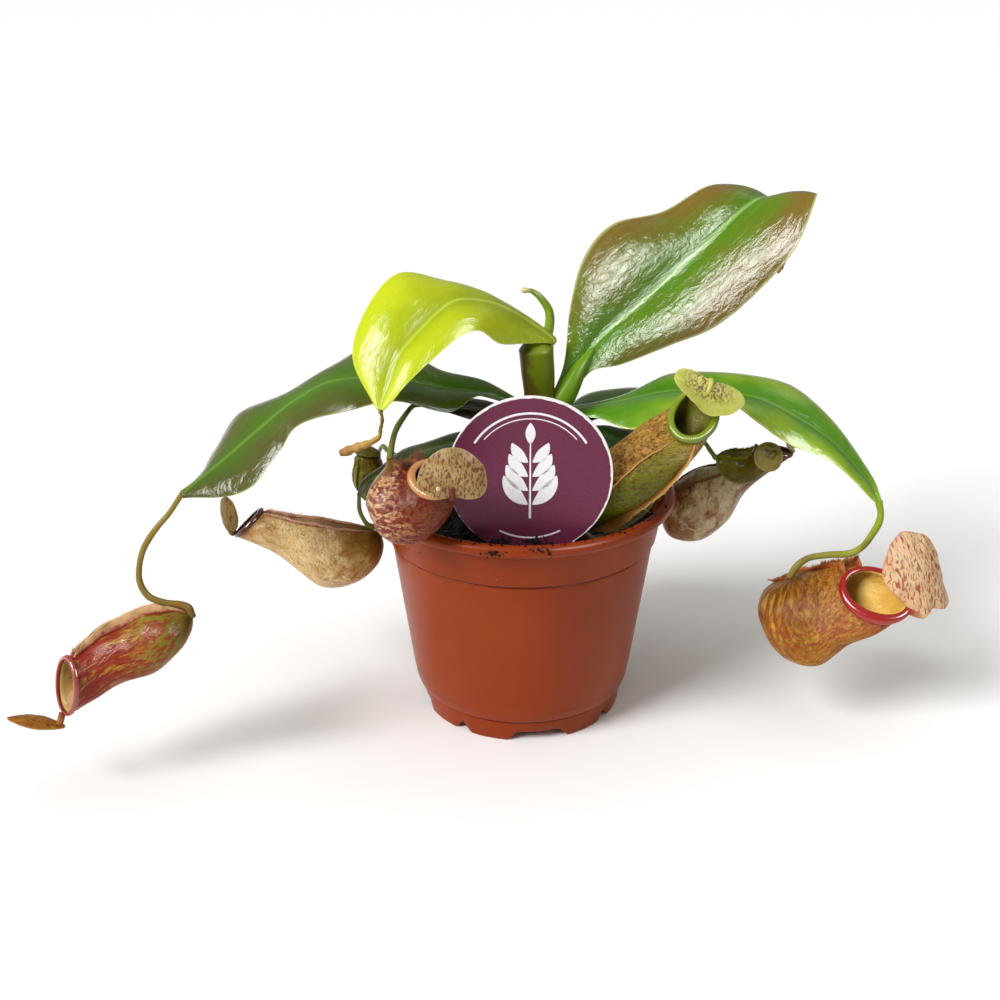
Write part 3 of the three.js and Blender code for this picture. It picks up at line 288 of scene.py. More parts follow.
for k in range(DRAIN_HOLES):
    bpy.data.objects.remove(bpy.data.objects[f"punch_{k}"])


# Peat: the plant's growing medium, dark and fibrous, pressed to just under the rim and still damp. Loose
# crumbs and pale root fibres lie on it, crumbs have spilled on the rim, and small heaps cling to tag and rim.

SOIL_TOP = 60.5
SOIL_RADIUS = 38.3
SOIL_COLUMNS = 270
SOIL_ROWS = 80
ROOT_BALL = [(3, 5.2), (29.2, 5.2), (31.7, 14), (37.4, 54.7)]
CRUMBS = 1500
SPILLED_CRUMBS = 130
FIBRES = 260
FIBRE_SPREAD = 37
CLUMP_CRUMBS = 60
# For each heap: its middle, how far its crumbs spread each way and the scale of their sizes.
CLUMPS = [([-5.6, -34.3, 66], [2.2, 0.25, 1.1], 0.13), ([4.1, -34.3, 66], [2.2, 0.25, 1.1], 0.13),
          ([-8.6, -44.4, 67.6], [1.6, 0.2, 0.5], 0.06), ([3.9, -44.6, 68.4], [1.6, 0.2, 0.5], 0.06)]
draw = np.random.default_rng(11)


def clods(x, y):
    """The peat's height: |sin| waves of shrinking length in random directions, on a slow swell."""
    waves = np.random.default_rng(5)
    height = 0.7 * np.sin(0.31 * x + 1.3) * np.cos(0.27 * y)
    for length in np.geomspace(9, 1.2, 16):
        turn, phase = waves.uniform(0, 2 * np.pi, 2)
        across = (x * np.cos(turn) + y * np.sin(turn)) / length
        height = height + 0.1 * length * (0.5 - np.abs(np.sin(np.pi * across + phase)))
    return height


def gathered(name, shapes, faces):
    """One mesh from many small shapes, shapes[i, j], that share one list of faces."""
    count, corners, _ = shapes.shape
    all_faces = np.arange(count)[:, None, None] * corners + np.array(faces)[None]
    return skin_mesh(name, shapes.reshape(-1, 3), all_faces.reshape(-1, len(faces[0])).tolist())


def crumb_shapes(centres, sizes):
    """Lumps with 20 faces: an icosahedron's corners pushed in and out at random, squashed and turned."""
    golden = (1 + 5 ** 0.5) / 2
    corners = np.array([[a, b * golden, 0] for a in (-1, 1) for b in (-1, 1)])
    corners = unit(np.concatenate([np.roll(corners, k, axis=1) for k in range(3)]))
    near = np.linalg.norm(corners[:, None] - corners[None], axis=-1) < 1.2
    faces = [[i, j, k] for i in range(12) for j in range(i + 1, 12) for k in range(j + 1, 12)
             if near[i, j] and near[j, k] and near[i, k]]
    faces = [f if np.dot(np.cross(*corners[f[:2]]), corners[f[2]]) > 0 else f[::-1] for f in faces]
    count = len(centres)
    lumpy = corners[None] * draw.uniform(0.6, 1.25, (count, 12, 1)) * draw.uniform(0.55, 1.3, (count, 1, 3))
    turns = np.linalg.qr(draw.normal(size=(count, 3, 3)))[0]
    turns *= np.linalg.det(turns)[:, None, None]
    return centres[:, None] + sizes[:, None, None] * np.einsum("nij,nkj->nki", turns, lumpy), faces


def unit(v):
    """Each vector divided by its length."""
    return v / np.maximum(np.linalg.norm(v, axis=-1, keepdims=True), 1e-9)


def bent_hairs(name, roots, ways, bends, radii):
    """Thin three-sided spikes: root + way t + bend t^2, their thickness falling to a point at t = 1."""
    t = np.array([0, 0.35, 0.7, 1])
    middle = roots[:, None] + ways[:, None] * t[None, :, None] + bends[:, None] * (t ** 2)[None, :, None]
    side = unit(np.cross(ways, ways + [0.3, 1.1, 0.7]))
    other = unit(np.cross(ways, side))
    angle = np.radians([0, 120, 240])
    ring = side[:, None] * np.cos(angle)[None, :, None] + other[:, None] * np.sin(angle)[None, :, None]
    thick = radii[:, None] * np.array([1, 0.8, 0.5])[None]
    rings = middle[:, :3, None] + ring[:, None] * thick[:, :, None, None]
    shapes = np.concatenate([rings.reshape(len(roots), 9, 3), middle[:, 3:]], axis=1)
    faces = [[0, 2, 1]]
    for base in (0, 3):
        for k in range(3):
            a, b = base + k, base + (k + 1) % 3
            faces += [[a, b, b + 3], [a, b + 3, a + 3]]
    faces += [[6 + k, 6 + (k + 1) % 3, 9] for k in range(3)]
    return gathered(name, shapes, faces)


def damp_peat():
    """Sphagnum peat: matt near-black brown, with paler brown bits; damp enough to glint a little."""
    material, tree, shader = new_material("damp_peat", Roughness=0.85, Specular_IOR_Level=0.15)
    place = add_node(tree, "TexCoord").outputs["Object"]
    bits = add_node(tree, "TexNoise", {"Vector": place, "Scale": 520, "Detail": 5, "Roughness": 0.7})
    colour = add_node(tree, "ValToRGB", {"Fac": bits},
                      [(0.35, "#050302"), (0.58, "#0f0906"), (0.72, "#241710")])
    bump = add_node(tree, "Bump", {"Height": bits, "Strength": 0.7, "Distance": 0.0006})
    feed(shader, {"Base Color": colour, "Normal": bump})
    return material


def root_fibre():
    """Dead root and moss fibres: dry and pale brown."""
    return new_material("root_fibre", Base_Color=paint("#5b4430"), Roughness=0.8)[0]


peat = damp_peat()
angle = np.linspace(0, 2 * np.pi, SOIL_COLUMNS, endpoint=False)
loops = [np.stack([r * np.cos(angle), r * np.sin(angle), np.full(SOIL_COLUMNS, z)], -1) for r, z in ROOT_BALL]
for radius in np.linspace(SOIL_RADIUS, 0.6, SOIL_ROWS):
    x, y = radius * np.cos(angle), radius * np.sin(angle)
    loops.append(np.stack([x, y, SOIL_TOP + clods(x, y)], -1))
settle(lofted("peat_surface", np.array(loops)), peat, "soil", "soil")

spread = SOIL_RADIUS * np.sqrt(draw.uniform(0, 0.97, CRUMBS))
turn = draw.uniform(0, 2 * np.pi, CRUMBS)
x, y = spread * np.cos(turn), spread * np.sin(turn)
size = draw.gamma(3, 0.2, CRUMBS) + 0.15
centres = np.stack([x, y, SOIL_TOP + clods(x, y) + 0.3 * size], -1)
settle(gathered("peat_crumbs", *crumb_shapes(centres, size)), peat, "soil")

turn = np.radians(draw.normal(-88, 34, SPILLED_CRUMBS))
bead_turn = np.radians(draw.normal(96, 26, SPILLED_CRUMBS))
size = draw.gamma(1.6, 0.08, SPILLED_CRUMBS) + 0.07
out_to = POT_RIM_RADIUS - BEAD_RADIUS + BEAD_RADIUS * np.cos(bead_turn)
up_to = POT_HEIGHT - BEAD_RADIUS + BEAD_RADIUS * np.sin(bead_turn)
centres = np.stack([out_to * np.cos(turn), out_to * np.sin(turn), up_to], -1)
settle(gathered("spilled_crumbs", *crumb_shapes(centres, size)), peat, "soil")
for k, (middle, spread, scale) in enumerate(CLUMPS):
    heap = np.array(middle) + draw.normal(0, 1, (CLUMP_CRUMBS, 3)) * spread
    size = draw.gamma(2, scale, CLUMP_CRUMBS) + 0.07
    settle(gathered(f"clump_{k + 1}", *crumb_shapes(heap, size)), peat, "soil")

spread = FIBRE_SPREAD * np.sqrt(draw.uniform(0, 1, FIBRES))
turn = draw.uniform(0, 2 * np.pi, FIBRES)
x, y = spread * np.cos(turn), spread * np.sin(turn)
roots = np.stack([x, y, SOIL_TOP + clods(x, y) + 0.4], -1)
heading = draw.uniform(0, 2 * np.pi, FIBRES)
ways = np.stack([np.cos(heading), np.sin(heading), draw.uniform(0, 0.5, FIBRES)], -1)
ways = ways * draw.uniform(2, 7, (FIBRES, 1))
bends = draw.normal(0, 1.2, (FIBRES, 3)) - [0, 0, 1.2]
settle(bent_hairs("root_fibres", roots, ways, bends, draw.uniform(0.07, 0.2, FIBRES)), root_fibre(), "soil")


# Tag: a round plant label of thick white card on a stake, pushed in behind the front rim. Its face is printed
# plum, a little short of the edge, so that white card shows, with a plain leafy sprig.

TAG_RADIUS = 22.3
TAG_THICKNESS = 0.8
TAG_CENTRE = np.array([1.4, -32.6, 85.2])
TAG_LEAN = np.radians(3)
TAG_NECK_HALF = 12.2
TAG_FOOT = -34
TAG_TURNS = 160
CARD_EDGE = 0.1
PRINT_DEPTH = 0.06
PRINT_EDGE = 0.01
PRINT_MARGIN = 0.42
PRINT_SHIFT = (-0.22, -0.2)
# Printed arcs: where each starts and ends in degrees, its radius and half its width in mm.
TAG_ARCS = [(148, 32, 17.6, 0.3), (140, 40, 16.1, 0.14), (-118, -62, 17.6, 0.22)]
# The sprig's stalk from foot to top, and the height of each pair of leaves on it.
SPRIG_STALK = (-12, 10)
SPRIG_PAIRS = [-8, -4, 0, 4]


def on_tag(x, z, depth):
    """A point x across and z up the card, and depth in front of its middle, as the card stands in the pot."""
    lean, rise = np.sin(TAG_LEAN), np.cos(TAG_LEAN)
    x, z, depth = np.broadcast_arrays(x, z, depth)
    return TAG_CENTRE + np.stack([x, -depth * rise + z * lean, z * rise + depth * lean], -1)


def tag_outline(radius, foot, turns):
    """The label's outline: a circle down to the neck, and then the neck's sides down to the foot."""
    start = np.arcsin(TAG_NECK_HALF / TAG_RADIUS) - np.pi / 2
    arc = np.linspace(start, np.pi - start, turns)
    side = np.linspace(radius * np.sin(start), foot, 8)[1:]
    x = np.concatenate([radius * np.cos(arc), np.full(7, -TAG_NECK_HALF), np.full(7, TAG_NECK_HALF)])
    return x, np.concatenate([radius * np.sin(arc), side, side[::-1]])


def card_plate(name, x, z, front, back, edge):
    """A flat plate of an outline, cut sharp: its loops run from the middle of one face, over a small edge, to
    the middle of the other."""
    inwards = edge * np.sign(back - front)
    steps = [(0.02, 0, front), (0.5, 0, front), (1, -edge, front), (1, 0, front + inwards),
             (1, 0, back - inwards), (1, -edge, back), (0.5, 0, back), (0.02, 0, back)]
    reach = np.hypot(x, z)
    loops = [on_tag(x * (s + grow / reach), z * (s + grow / reach), depth) for s, grow, depth in steps]
    plate = lofted(name, np.array(loops))
    plate.shade_flat()
    return plate


def printed_card(name, colours, roughness):
    """Printed board: satin ink or bare board, with the faint flecks of a coarse print screen."""
    material, tree, shader = new_material(name, Roughness=roughness, IOR=1.5, Specular_IOR_Level=0.35)
    place = add_node(tree, "TexCoord").outputs["Object"]
    grain = add_node(tree, "TexNoise", {"Vector": place, "Scale": 2600, "Detail": 3, "Roughness": 0.6})
    colour = add_node(tree, "ValToRGB", {"Fac": grain}, [(0.35, colours[0]), (0.68, colours[1])])
    bump = add_node(tree, "Bump", {"Height": grain, "Strength": 0.05, "Distance": 0.0001})
    feed(shader, {"Base Color": colour, "Normal": bump})
    return material


def band(x, z, half, depth):
    """The loops of a printed line or leaf along a path: x and z are its middle, and half its half width."""
    along_x, along_z = np.gradient(x), np.gradient(z)
    length = np.maximum(np.hypot(along_x, along_z), 1e-9)
    nx, nz = -along_z / length * half, along_x / length * half
    low, high = depth, depth + PRINT_DEPTH / 2
    return np.stack([on_tag(x - nx, z - nz, low), on_tag(x + nx, z + nz, low),
                     on_tag(x + nx, z + nz, high), on_tag(x - nx, z - nz, high)], axis=1)


x, z = tag_outline(TAG_RADIUS, TAG_FOOT, TAG_TURNS)
face = TAG_THICKNESS / 2
white_board = printed_card("white_board", ("#e8e5e0", "#f6f4f0"), 0.6)
settle(card_plate("tag_card", x, z, face, -face, CARD_EDGE), white_board, "tag", "tag")
way_round = np.linspace(0, 2 * np.pi, len(x))
ragged = sum(0.035 * np.sin(k * way_round + k * k) for k in (13, 19, 29, 43, 61))
scale = 1 - (PRINT_MARGIN + ragged) / TAG_RADIUS
x, z = x * scale + PRINT_SHIFT[0], z * scale + PRINT_SHIFT[1]
ink_depth = face + PRINT_DEPTH
plum_ink = printed_card("plum_ink", ("#5f1b3a", "#6e2548"), 0.45)
settle(card_plate("tag_print", x, z, ink_depth, face, PRINT_EDGE), plum_ink, "tag")

white_ink = printed_card("white_ink", ("#e4e2e4", "#f7f6f7"), 0.45)
for k, (start, end, radius, half) in enumerate(TAG_ARCS):
    turn = np.radians(np.linspace(start, end, 90))
    arc = lofted(f"tag_arc_{k + 1}", band(radius * np.cos(turn), radius * np.sin(turn), half, ink_depth))
    arc.shade_flat()
    settle(arc, white_ink, "tag")
t = np.linspace(0, 1, 60)
low, high = SPRIG_STALK
sprig = [band(0 * t, low + (high - low) * t, 0.32 * (1 - 0.5 * t), ink_depth)]
for k, height in enumerate(SPRIG_PAIRS):
    for side in (-1, 1):
        long = 10.5 - 1.2 * k
        leaf_x = side * (0.6 + long * t * np.cos(0.55 + 0.35 * t))
        leaf_z = height + long * t * np.sin(0.55 + 0.35 * t)
        sprig.append(band(leaf_x, leaf_z, 0.03 + (1.9 - 0.15 * k) * np.sin(np.pi * t) ** 0.8, ink_depth))
sprig.append(band(0 * t, high - 1 + 6 * t, 0.03 + 1.3 * np.sin(np.pi * t) ** 0.8, ink_depth))
for k, leaf in enumerate(sprig):
    printed_leaf = lofted(f"tag_sprig_{k + 1}", leaf)
    printed_leaf.shade_flat()
    settle(printed_leaf, white_ink, "tag")


# Stem: short, upright, smooth and green, with a brown patch on its left, and rounded over under the top leaf.
# The new shoot beside its top is the next leaf, still rolled up tight, with a pale bead at its curled tip.

STEM_LINE = [[4.5, 1, 52], [4.8, 0.6, 68], [4.9, 0.4, 84], [4.6, 0.2, 98], [3.4, 0, 114.1]]
STEM_RADII = [3.2, 3.9, 4.2, 4.5, 5.3]
SHOOT_LINE = [[6, 4.4, 110], [7.4, 5, 116.2], [7.2, 5, 120.6], [5, 5, 124.2], [2.6, 5, 126.2],
              [0.8, 5, 126.6]]
SHOOT_RADII = [1.5, 1.4, 1.25, 1, 0.75, 0.6]
CLASPED_AT = (0.45, 0.66, 0.84)
# The stem's brown patch fades out between these two places across.
PATCH_LEFT, PATCH_RIGHT = 1, 7


def through(values, u):
    """Rows of values on one smooth curve through all of them, u from 0 to 1: a Catmull-Rom spline, carried
    straight on past its ends."""
    rows = np.asarray(values, float)
    last = len(rows) - 1
    rows = np.concatenate([[2 * rows[0] - rows[1]], rows, [2 * rows[-1] - rows[-2]]])
    place = np.clip(u, 0, 1) * last
    i = np.minimum(place.astype(int), last - 1)
    t = (place - i).reshape(-1, *[1] * (rows.ndim - 1))
    a, b, c, d = rows[i], rows[i + 1], rows[i + 2], rows[i + 3]
    slope, bow, twist = c - a, 2 * a - 5 * b + 4 * c - d, 3 * b - a - 3 * c + d
    return 0.5 * (2 * b + slope * t + bow * t ** 2 + twist * t ** 3)


def shoot_loops(line, radii, rows, sides, swell=None):
    """Rings round a curve, square to it. A ring's first axis is the curve's flattest direction, less its part
    along the curve, and its second is their cross product. swell(u, angle) multiplies the radius."""
    u = np.linspace(0, 1, rows)
    middle = through(line, u)
    forward = unit(np.gradient(middle, axis=0))
    flattest = np.linalg.svd(middle - middle.mean(axis=0), full_matrices=False)[2][2]
    side = unit(flattest - forward * (forward @ flattest)[:, None])
    other = np.cross(forward, side)
    angle = np.linspace(0, 2 * np.pi, sides, endpoint=False)
    radius = through(np.array(radii)[:, None], u) * (1 if swell is None else swell(u[:, None], angle[None]))
    ring = side[:, None] * np.cos(angle)[None, :, None] + other[:, None] * np.sin(angle)[None, :, None]
    loops = middle[:, None] + ring * np.broadcast_to(radius, (rows, sides))[..., None]
    marks = np.stack(np.broadcast_arrays(u[:, None], np.cos(angle)[None], np.sin(angle)[None]), -1)
    return loops, {"shoot": marks}


def living_shoot(name, stops, patch, roughness=0.35, one_side=0):
    """Young plant stem: waxy and smooth, its colour changing along it, with fine grooves and small pores.

    one_side gathers its patches on the left: their noise gains that much there, and loses it on the right.
    """
    material, tree, shader = new_material(name, Roughness=roughness, IOR=1.45, Specular_IOR_Level=0.25)
    marks = add_node(tree, "Attribute", attribute_name="shoot").outputs["Vector"]
    along = add_node(tree, "SeparateXYZ", {0: marks})
    place = add_node(tree, "TexCoord").outputs["Object"]
    cloud = add_node(tree, "TexNoise", {"Vector": place, "Scale": 260, "Detail": 4})
    shifted = add_node(tree, "MapRange", {"Value": cloud, 3: -0.12, 4: 0.12})
    where = add_node(tree, "Math", {0: along.outputs[0], 1: shifted}, operation="ADD")
    colour = add_node(tree, "ValToRGB", {"Fac": where}, stops)
    blotch = add_node(tree, "TexNoise", {"Vector": place, "Scale": 120, "Detail": 5, "Roughness": 0.6})
    across = add_node(tree, "SeparateXYZ", {0: place})
    left = add_node(tree, "MapRange", {"Value": across.outputs[0], 1: POT_AXIS[0] + PATCH_RIGHT * METRES,
                                       2: POT_AXIS[0] + PATCH_LEFT * METRES, 3: -one_side, 4: one_side})
    leaning = add_node(tree, "Math", {0: left, 1: blotch}, operation="ADD")
    mask = add_node(tree, "MapRange", {"Value": leaning, 1: 0.5, 2: 0.64, 4: 0.75})
    mixed = add_node(tree, "MixRGB", {"Fac": mask, "Color1": colour, "Color2": patch})
    bump = add_node(tree, "Bump", {"Height": cloud, "Strength": 0.25, "Distance": 0.0002})
    feed(shader, {"Base Color": mixed, "Normal": bump})
    return material


def stem_swell(u, angle):
    """1, with grooves, faint swellings where leaves clasp it, and sqrt((1 - u) / 0.05) over its top."""
    clasped = sum(0.035 * np.exp(-((u - place) / 0.05) ** 2) for place in CLASPED_AT)
    grooves = 0.03 * np.cos(4 * angle + 3 * u) + 0.02 * np.sin(3 * angle + 7 * u)
    return (1 + clasped + grooves) * np.sqrt(np.clip((1 - u) / 0.05, 0.02, 1))


loops, marks = shoot_loops(STEM_LINE, STEM_RADII, rows=160, sides=64, swell=stem_swell)
green_stem = living_shoot("green_stem", [(0, "#3f3a10"), (0.35, "#4c5a04"), (0.7, "#5c6c04"), (1, "#76880a")],
                          "#4c2a04", one_side=0.2)
settle(lofted("main_stem", loops, marks), green_stem, "stem", "stem")


def rolled_swell(u, angle):
    """A rolled leaf's seam: a narrow groove down one side, and a round end past u = 0.97."""
    seam = 0.14 * np.exp(-((np.angle(np.exp(1j * (angle - 4.2 + 0.8 * u)))) / 0.25) ** 2)
    return (1 - seam) * np.sqrt(np.clip((1 - u) / 0.03, 0.02, 1))


loops, marks = shoot_loops(SHOOT_LINE, SHOOT_RADII, rows=120, sides=40, swell=rolled_swell)
fresh_green = living_shoot("fresh_shoot",
                           [(0, "#93ab1c"), (0.4, "#739414"), (0.85, "#74881c"), (1, "#b5b070")],
                           "#8aa024", roughness=0.28)
settle(lofted("rolled_shoot", loops, marks), fresh_green, "leaf", "new_shoot")


def bead(name, centre, radii, rings=22, sides=30):
    """A ball's rings drawn out to three radii: x = sin(t) cos(a), y = sin(t) sin(a), z = cos(t)."""
    t = np.linspace(0.03, np.pi - 0.03, rings)[:, None]
    a = np.linspace(0, 2 * np.pi, sides, endpoint=False)[None]
    ball = np.stack(np.broadcast_arrays(np.sin(t) * np.cos(a), np.sin(t) * np.sin(a), np.cos(t)), -1)
    return lofted(name, centre + ball * radii)


dried_sap = new_material("dried_sap", Base_Color=paint("#cfc08c"), Roughness=0.14)[0]
settle(bead("shoot_bead", np.array(SHOOT_LINE[-1]) + [-0.5, 0, 0], [1.15, 0.9, 0.85]), dried_sap, "leaf")


# Leaves: strap-shaped, waxy and stiff, each folded a little along a pale midrib that stands out below as a
# keel. They clasp the stem at their base, wave along their edge, and run out at the tip into a tendril.

LEAVES = {
    "leaf_upper_right": [
        [[8.2, 0.6, 90], [5.4, 1.8, 92.4], [11.4, -1.2, 88.2]],
        [[12, 1, 96.6], [9.2, 1.6, 98.9], [14.2, -0.4, 95.6]],
        [[16, 4, 104.4], [12, 4, 107], [19.2, 2, 103.4]],
        [[22.5, 9, 112], [13.5, 10, 121], [28.5, 6, 104.5]],
        [[33, 16, 119], [17.5, 18, 133], [43.5, 11, 109]],
        [[44, 24, 126.5], [26.5, 27, 141], [56.5, 17, 112.5]],
        [[56, 32, 135], [42, 37, 142.5], [69, 24, 120.5]],
        [[67.5, 41, 143], [56.5, 46, 148.5], [81.5, 31, 133]],
        [[75.5, 50, 144], [68, 55, 147], [88.5, 40, 146.5]],
        [[83, 62, 136.5], [78, 64, 139], [90, 56, 139.5]],
        [[87, 72, 120.5], [86, 73, 121], [88, 71, 121]],
    ],
    "leaf_young_left": [
        [[6.5, 0, 111.8], [7.5, 1.6, 112], [5.5, -2, 111.6]],
        [[8.5, 0, 113.2], [9, 2, 113.7], [8, -1.2, 112.7]],
        [[1.5, -1, 119], [2.5, 2.5, 118.5], [1.5, -5, 114]],
        [[-5, -3, 123.5], [-5.5, 5, 122.5], [-6.5, -10, 115.5]],
        [[-12, -5, 126], [-13, 6, 126.5], [-12.5, -14, 120]],
        [[-19.5, -8, 126.5], [-23, 5, 129.5], [-19, -18, 118.5]],
        [[-27, -12, 121], [-35.5, 2, 132], [-26, -22, 113.5]],
        [[-33.5, -17, 114.5], [-44, -5, 123.5], [-31.5, -25, 108.5]],
        [[-36.5, -21, 107], [-47, -13, 112], [-35.5, -26, 104]],
        [[-39, -25, 101], [-40, -25, 101.5], [-38, -26, 101.5]],
    ],
    "leaf_long_left": [
        [[1.5, 2, 92], [1.5, 3.5, 93], [1, 0.5, 91.5]],
        [[-11, 2, 96.6], [-9.5, 6.5, 98.6], [-12, -4, 98]],
        [[-24, 2, 98.6], [-23.4, 9, 101.6], [-21.4, -9.5, 95.6]],
        [[-36.5, -1, 102], [-38.5, 12, 109.5], [-36.5, -12, 99]],
        [[-53, -7, 103.5], [-56, 8, 103], [-49.5, -17, 98.5]],
        [[-63.5, -14, 100], [-68, 2, 96], [-62, -22, 95]],
        [[-72, -20, 94.5], [-81, -8, 94], [-67, -27, 90]],
        [[-79.5, -27, 89.5], [-86.5, -18, 86.5], [-72.5, -34, 83]],
        [[-85.5, -34, 86], [-88.5, -28, 82.5], [-81, -38, 81.5]],
        [[-91, -40, 83], [-91, -40, 84], [-90.5, -40.5, 82]],
    ],
    "leaf_long_right": [
        [[8, 3, 90.5], [7.5, 4.5, 91], [8.5, 1.8, 90]],
        [[12, 5, 90.8], [12, 7, 90.8], [12, 3, 90.2]],
        [[20.5, 5, 92], [22, 9.5, 91.4], [21.6, -0.5, 90.2]],
        [[30, 4.5, 94], [31.5, 13, 92.8], [30.8, -8.5, 89.4]],
        [[42.5, 6, 96], [44.5, 17, 98], [44, -8, 94]],
        [[56, 6, 95.6], [58, 18, 98.8], [57, -5, 96.4]],
        [[68, 4, 94.6], [70, 17, 97.2], [66.5, -8.5, 91.4]],
        [[79, 1, 90], [82, 14, 94.2], [76.5, -9, 85.4]],
        [[89, -3, 84], [92, 8, 86.6], [86, -10.5, 81.6]],
        [[98.2, -9, 74.6], [100.6, -5, 75], [95, -14, 75]],
        [[101.5, -14, 69.5], [102.5, -14, 70], [100.7, -14.5, 69.5]],
    ],
    "leaf_low_left": [
        [[1.5, -1.5, 84.5], [1, 0, 85], [2, -2.8, 84]],
        [[-8, -3.5, 86], [-9, 1, 86.4], [-8, -8, 85.4]],
        [[-20, -5, 84.2], [-20, 1, 85], [-21, -11.5, 82.6]],
        [[-28, -6, 82.2], [-27.5, 1, 82.8], [-28, -12, 80]],
        [[-34, -6, 79], [-34.5, 1, 80], [-33.5, -11, 76.5]],
        [[-40, -4.5, 75], [-41, 0, 76], [-38, -8, 72.5]],
        [[-45.4, -3, 71.2], [-46.9, -1, 71.2], [-44, -4.5, 71.1]],
        [[-48, -2.2, 66.9], [-48.8, -2, 67], [-47.3, -3, 66.9]],
    ],
    "leaf_low_right": [
        [[8, -1, 83.5], [8.6, 0.6, 84], [7.4, -2.4, 83]],
        [[17, -3.5, 87], [18.5, 1.8, 86.8], [16.5, -10, 84.8]],
        [[26, -5, 85.4], [27.5, 2.4, 86.4], [23.5, -13, 82.3]],
        [[33.5, -5, 81], [36.5, 2, 84], [31.5, -10, 78.5]],
        [[38.5, -4, 74], [39.5, -3.6, 74.5], [37.6, -5, 74]],
    ],
    "leaf_under_left": [
        [[1, 1, 87.6], [1, 2.4, 88], [1, -0.4, 87.2]],
        [[-6, 1, 91], [-6, 5, 92], [-6.5, -3.5, 90]],
        [[-14, 1, 93], [-14, 6, 94], [-14.5, -5, 91.5]],
        [[-21, 1, 94], [-21, 4.5, 94.8], [-21.5, -3, 92.7]],
        [[-26, 2, 93.4], [-26.2, 3.1, 93.7], [-26.1, 1, 93.1]],
    ],
    "leaf_under_right": [
        [[8.8, 2.4, 86.6], [8.4, 3.6, 86.8], [9.2, 1.4, 86.4]],
        [[19, 7.5, 88.6], [18, 11, 88.9], [20, 4.2, 88.3]],
        [[31, 11, 89], [30, 16, 89.4], [32, 6, 88.3]],
        [[42, 10.8, 87.6], [42, 14.2, 87.9], [42.5, 7.4, 87]],
        [[49.3, 8.3, 84.3], [49.6, 9.3, 84.4], [49, 7.3, 84.2]],
    ],
    "leaf_back_right": [
        [[7.5, 4, 82], [6.5, 5, 82.3], [8.4, 3.2, 81.7]],
        [[17, 14, 86], [13, 19, 86.6], [21, 11, 85.4]],
        [[30, 24, 87.6], [24.5, 31.5, 88], [35.5, 18.5, 86]],
        [[43, 31, 85], [39, 38, 86], [47, 26, 83]],
        [[52, 33.3, 77.5], [51.5, 34.5, 77.8], [52.5, 32.3, 77.2]],
    ],
    "leaf_back_left": [
        [[1.4, 3, 75], [2.4, 4.4, 75.4], [0.8, 1.8, 74.6]],
        [[-8, 8, 77], [-6, 13, 78], [-10, 3, 76]],
        [[-19, 12, 76.5], [-17, 18.5, 77.5], [-21, 6, 75.5]],
        [[-29, 14.5, 74], [-28, 20, 75], [-30, 9.5, 73]],
        [[-36, 15.5, 71.8], [-36, 16.6, 72], [-36, 14.5, 71.7]],
    ],
}
# For each leaf: bulge, height and count of the edge's waves; its colours at the rib, half way, at the edge,
# on the vein, along the rim and below; how far quilting breaks its gloss, and how much the vein shows.
LEAF_LOOKS = {
    "leaf_upper_right": (0.1, 0.4, 3.5, ["#4f8400", "#5f7c06", "#7a6420", "#a8d070", "#b5b878", "#7f8446"],
                         0.3, 0.7),
    "leaf_young_left": (0.12, 0.3, 3, ["#8f9c00", "#a8b600", "#c0cc08", "#c4d850", "#d4e048", "#9ca410"],
                        0.3, 0.7),
    "leaf_long_left": (0.12, 0.6, 4.5, ["#4f7c10", "#4c6a1c", "#5c5a28", "#7aa83a", "#869440", "#6c7a2c"],
                       0.25, 0.5),
    "leaf_long_right": (0.12, 0.5, 3.5, ["#407808", "#558a0c", "#88a820", "#7cac3a", "#bccc4c", "#567420"],
                        0.2, 0.55),
    "leaf_low_left": (0.1, 0.4, 3, ["#425a10", "#384e12", "#443f18", "#6c7c34", "#869440", "#4f5020"],
                      0.3, 0.5),
    # The low right leaf's dark greens are partly its own colour and partly painted shade, for the shadow
    # behind the tag.
    "leaf_low_right": (0.1, 0.3, 3, ["#223c10", "#1a2e0c", "#18280c", "#3c5c2c", "#566f30", "#34441a"],
                       0.3, 0.5),
    "leaf_under_left": (0.1, 0.2, 2, ["#403810", "#36300e", "#32260e", "#70702c", "#70702c", "#3e3010"],
                        0.4, 0.5),
    "leaf_under_right": (0.1, 0.2, 2, ["#2f5614", "#28440f", "#28420f", "#608034", "#6c843a", "#3e4c1c"],
                         0.3, 0.5),
    "leaf_back_right": (0.12, 0.4, 3, ["#3f7414", "#386014", "#485c1a", "#7ca044", "#929c44", "#606c2c"],
                        0.3, 0.5),
    "leaf_back_left": (0.12, 0.3, 3, ["#3c6814", "#325014", "#404c1a", "#6c9038", "#848c40", "#586430"],
                       0.3, 0.5),
}
HALF_THICKNESS = 0.36
FOLD_SOFTNESS = 0.35
KEEL_WIDTH = 0.9
# The upper leaf's base stands rolled against the stem.
SHEATH_LINE = [[7, 0, 87], [9.4, 0.4, 92.6], [12.6, 0.6, 98], [16.4, 2.8, 104.6], [20.4, 6.4, 109.4]]
SHEATH_RADII = [2.2, 3.4, 3.2, 2.1, 0.6]


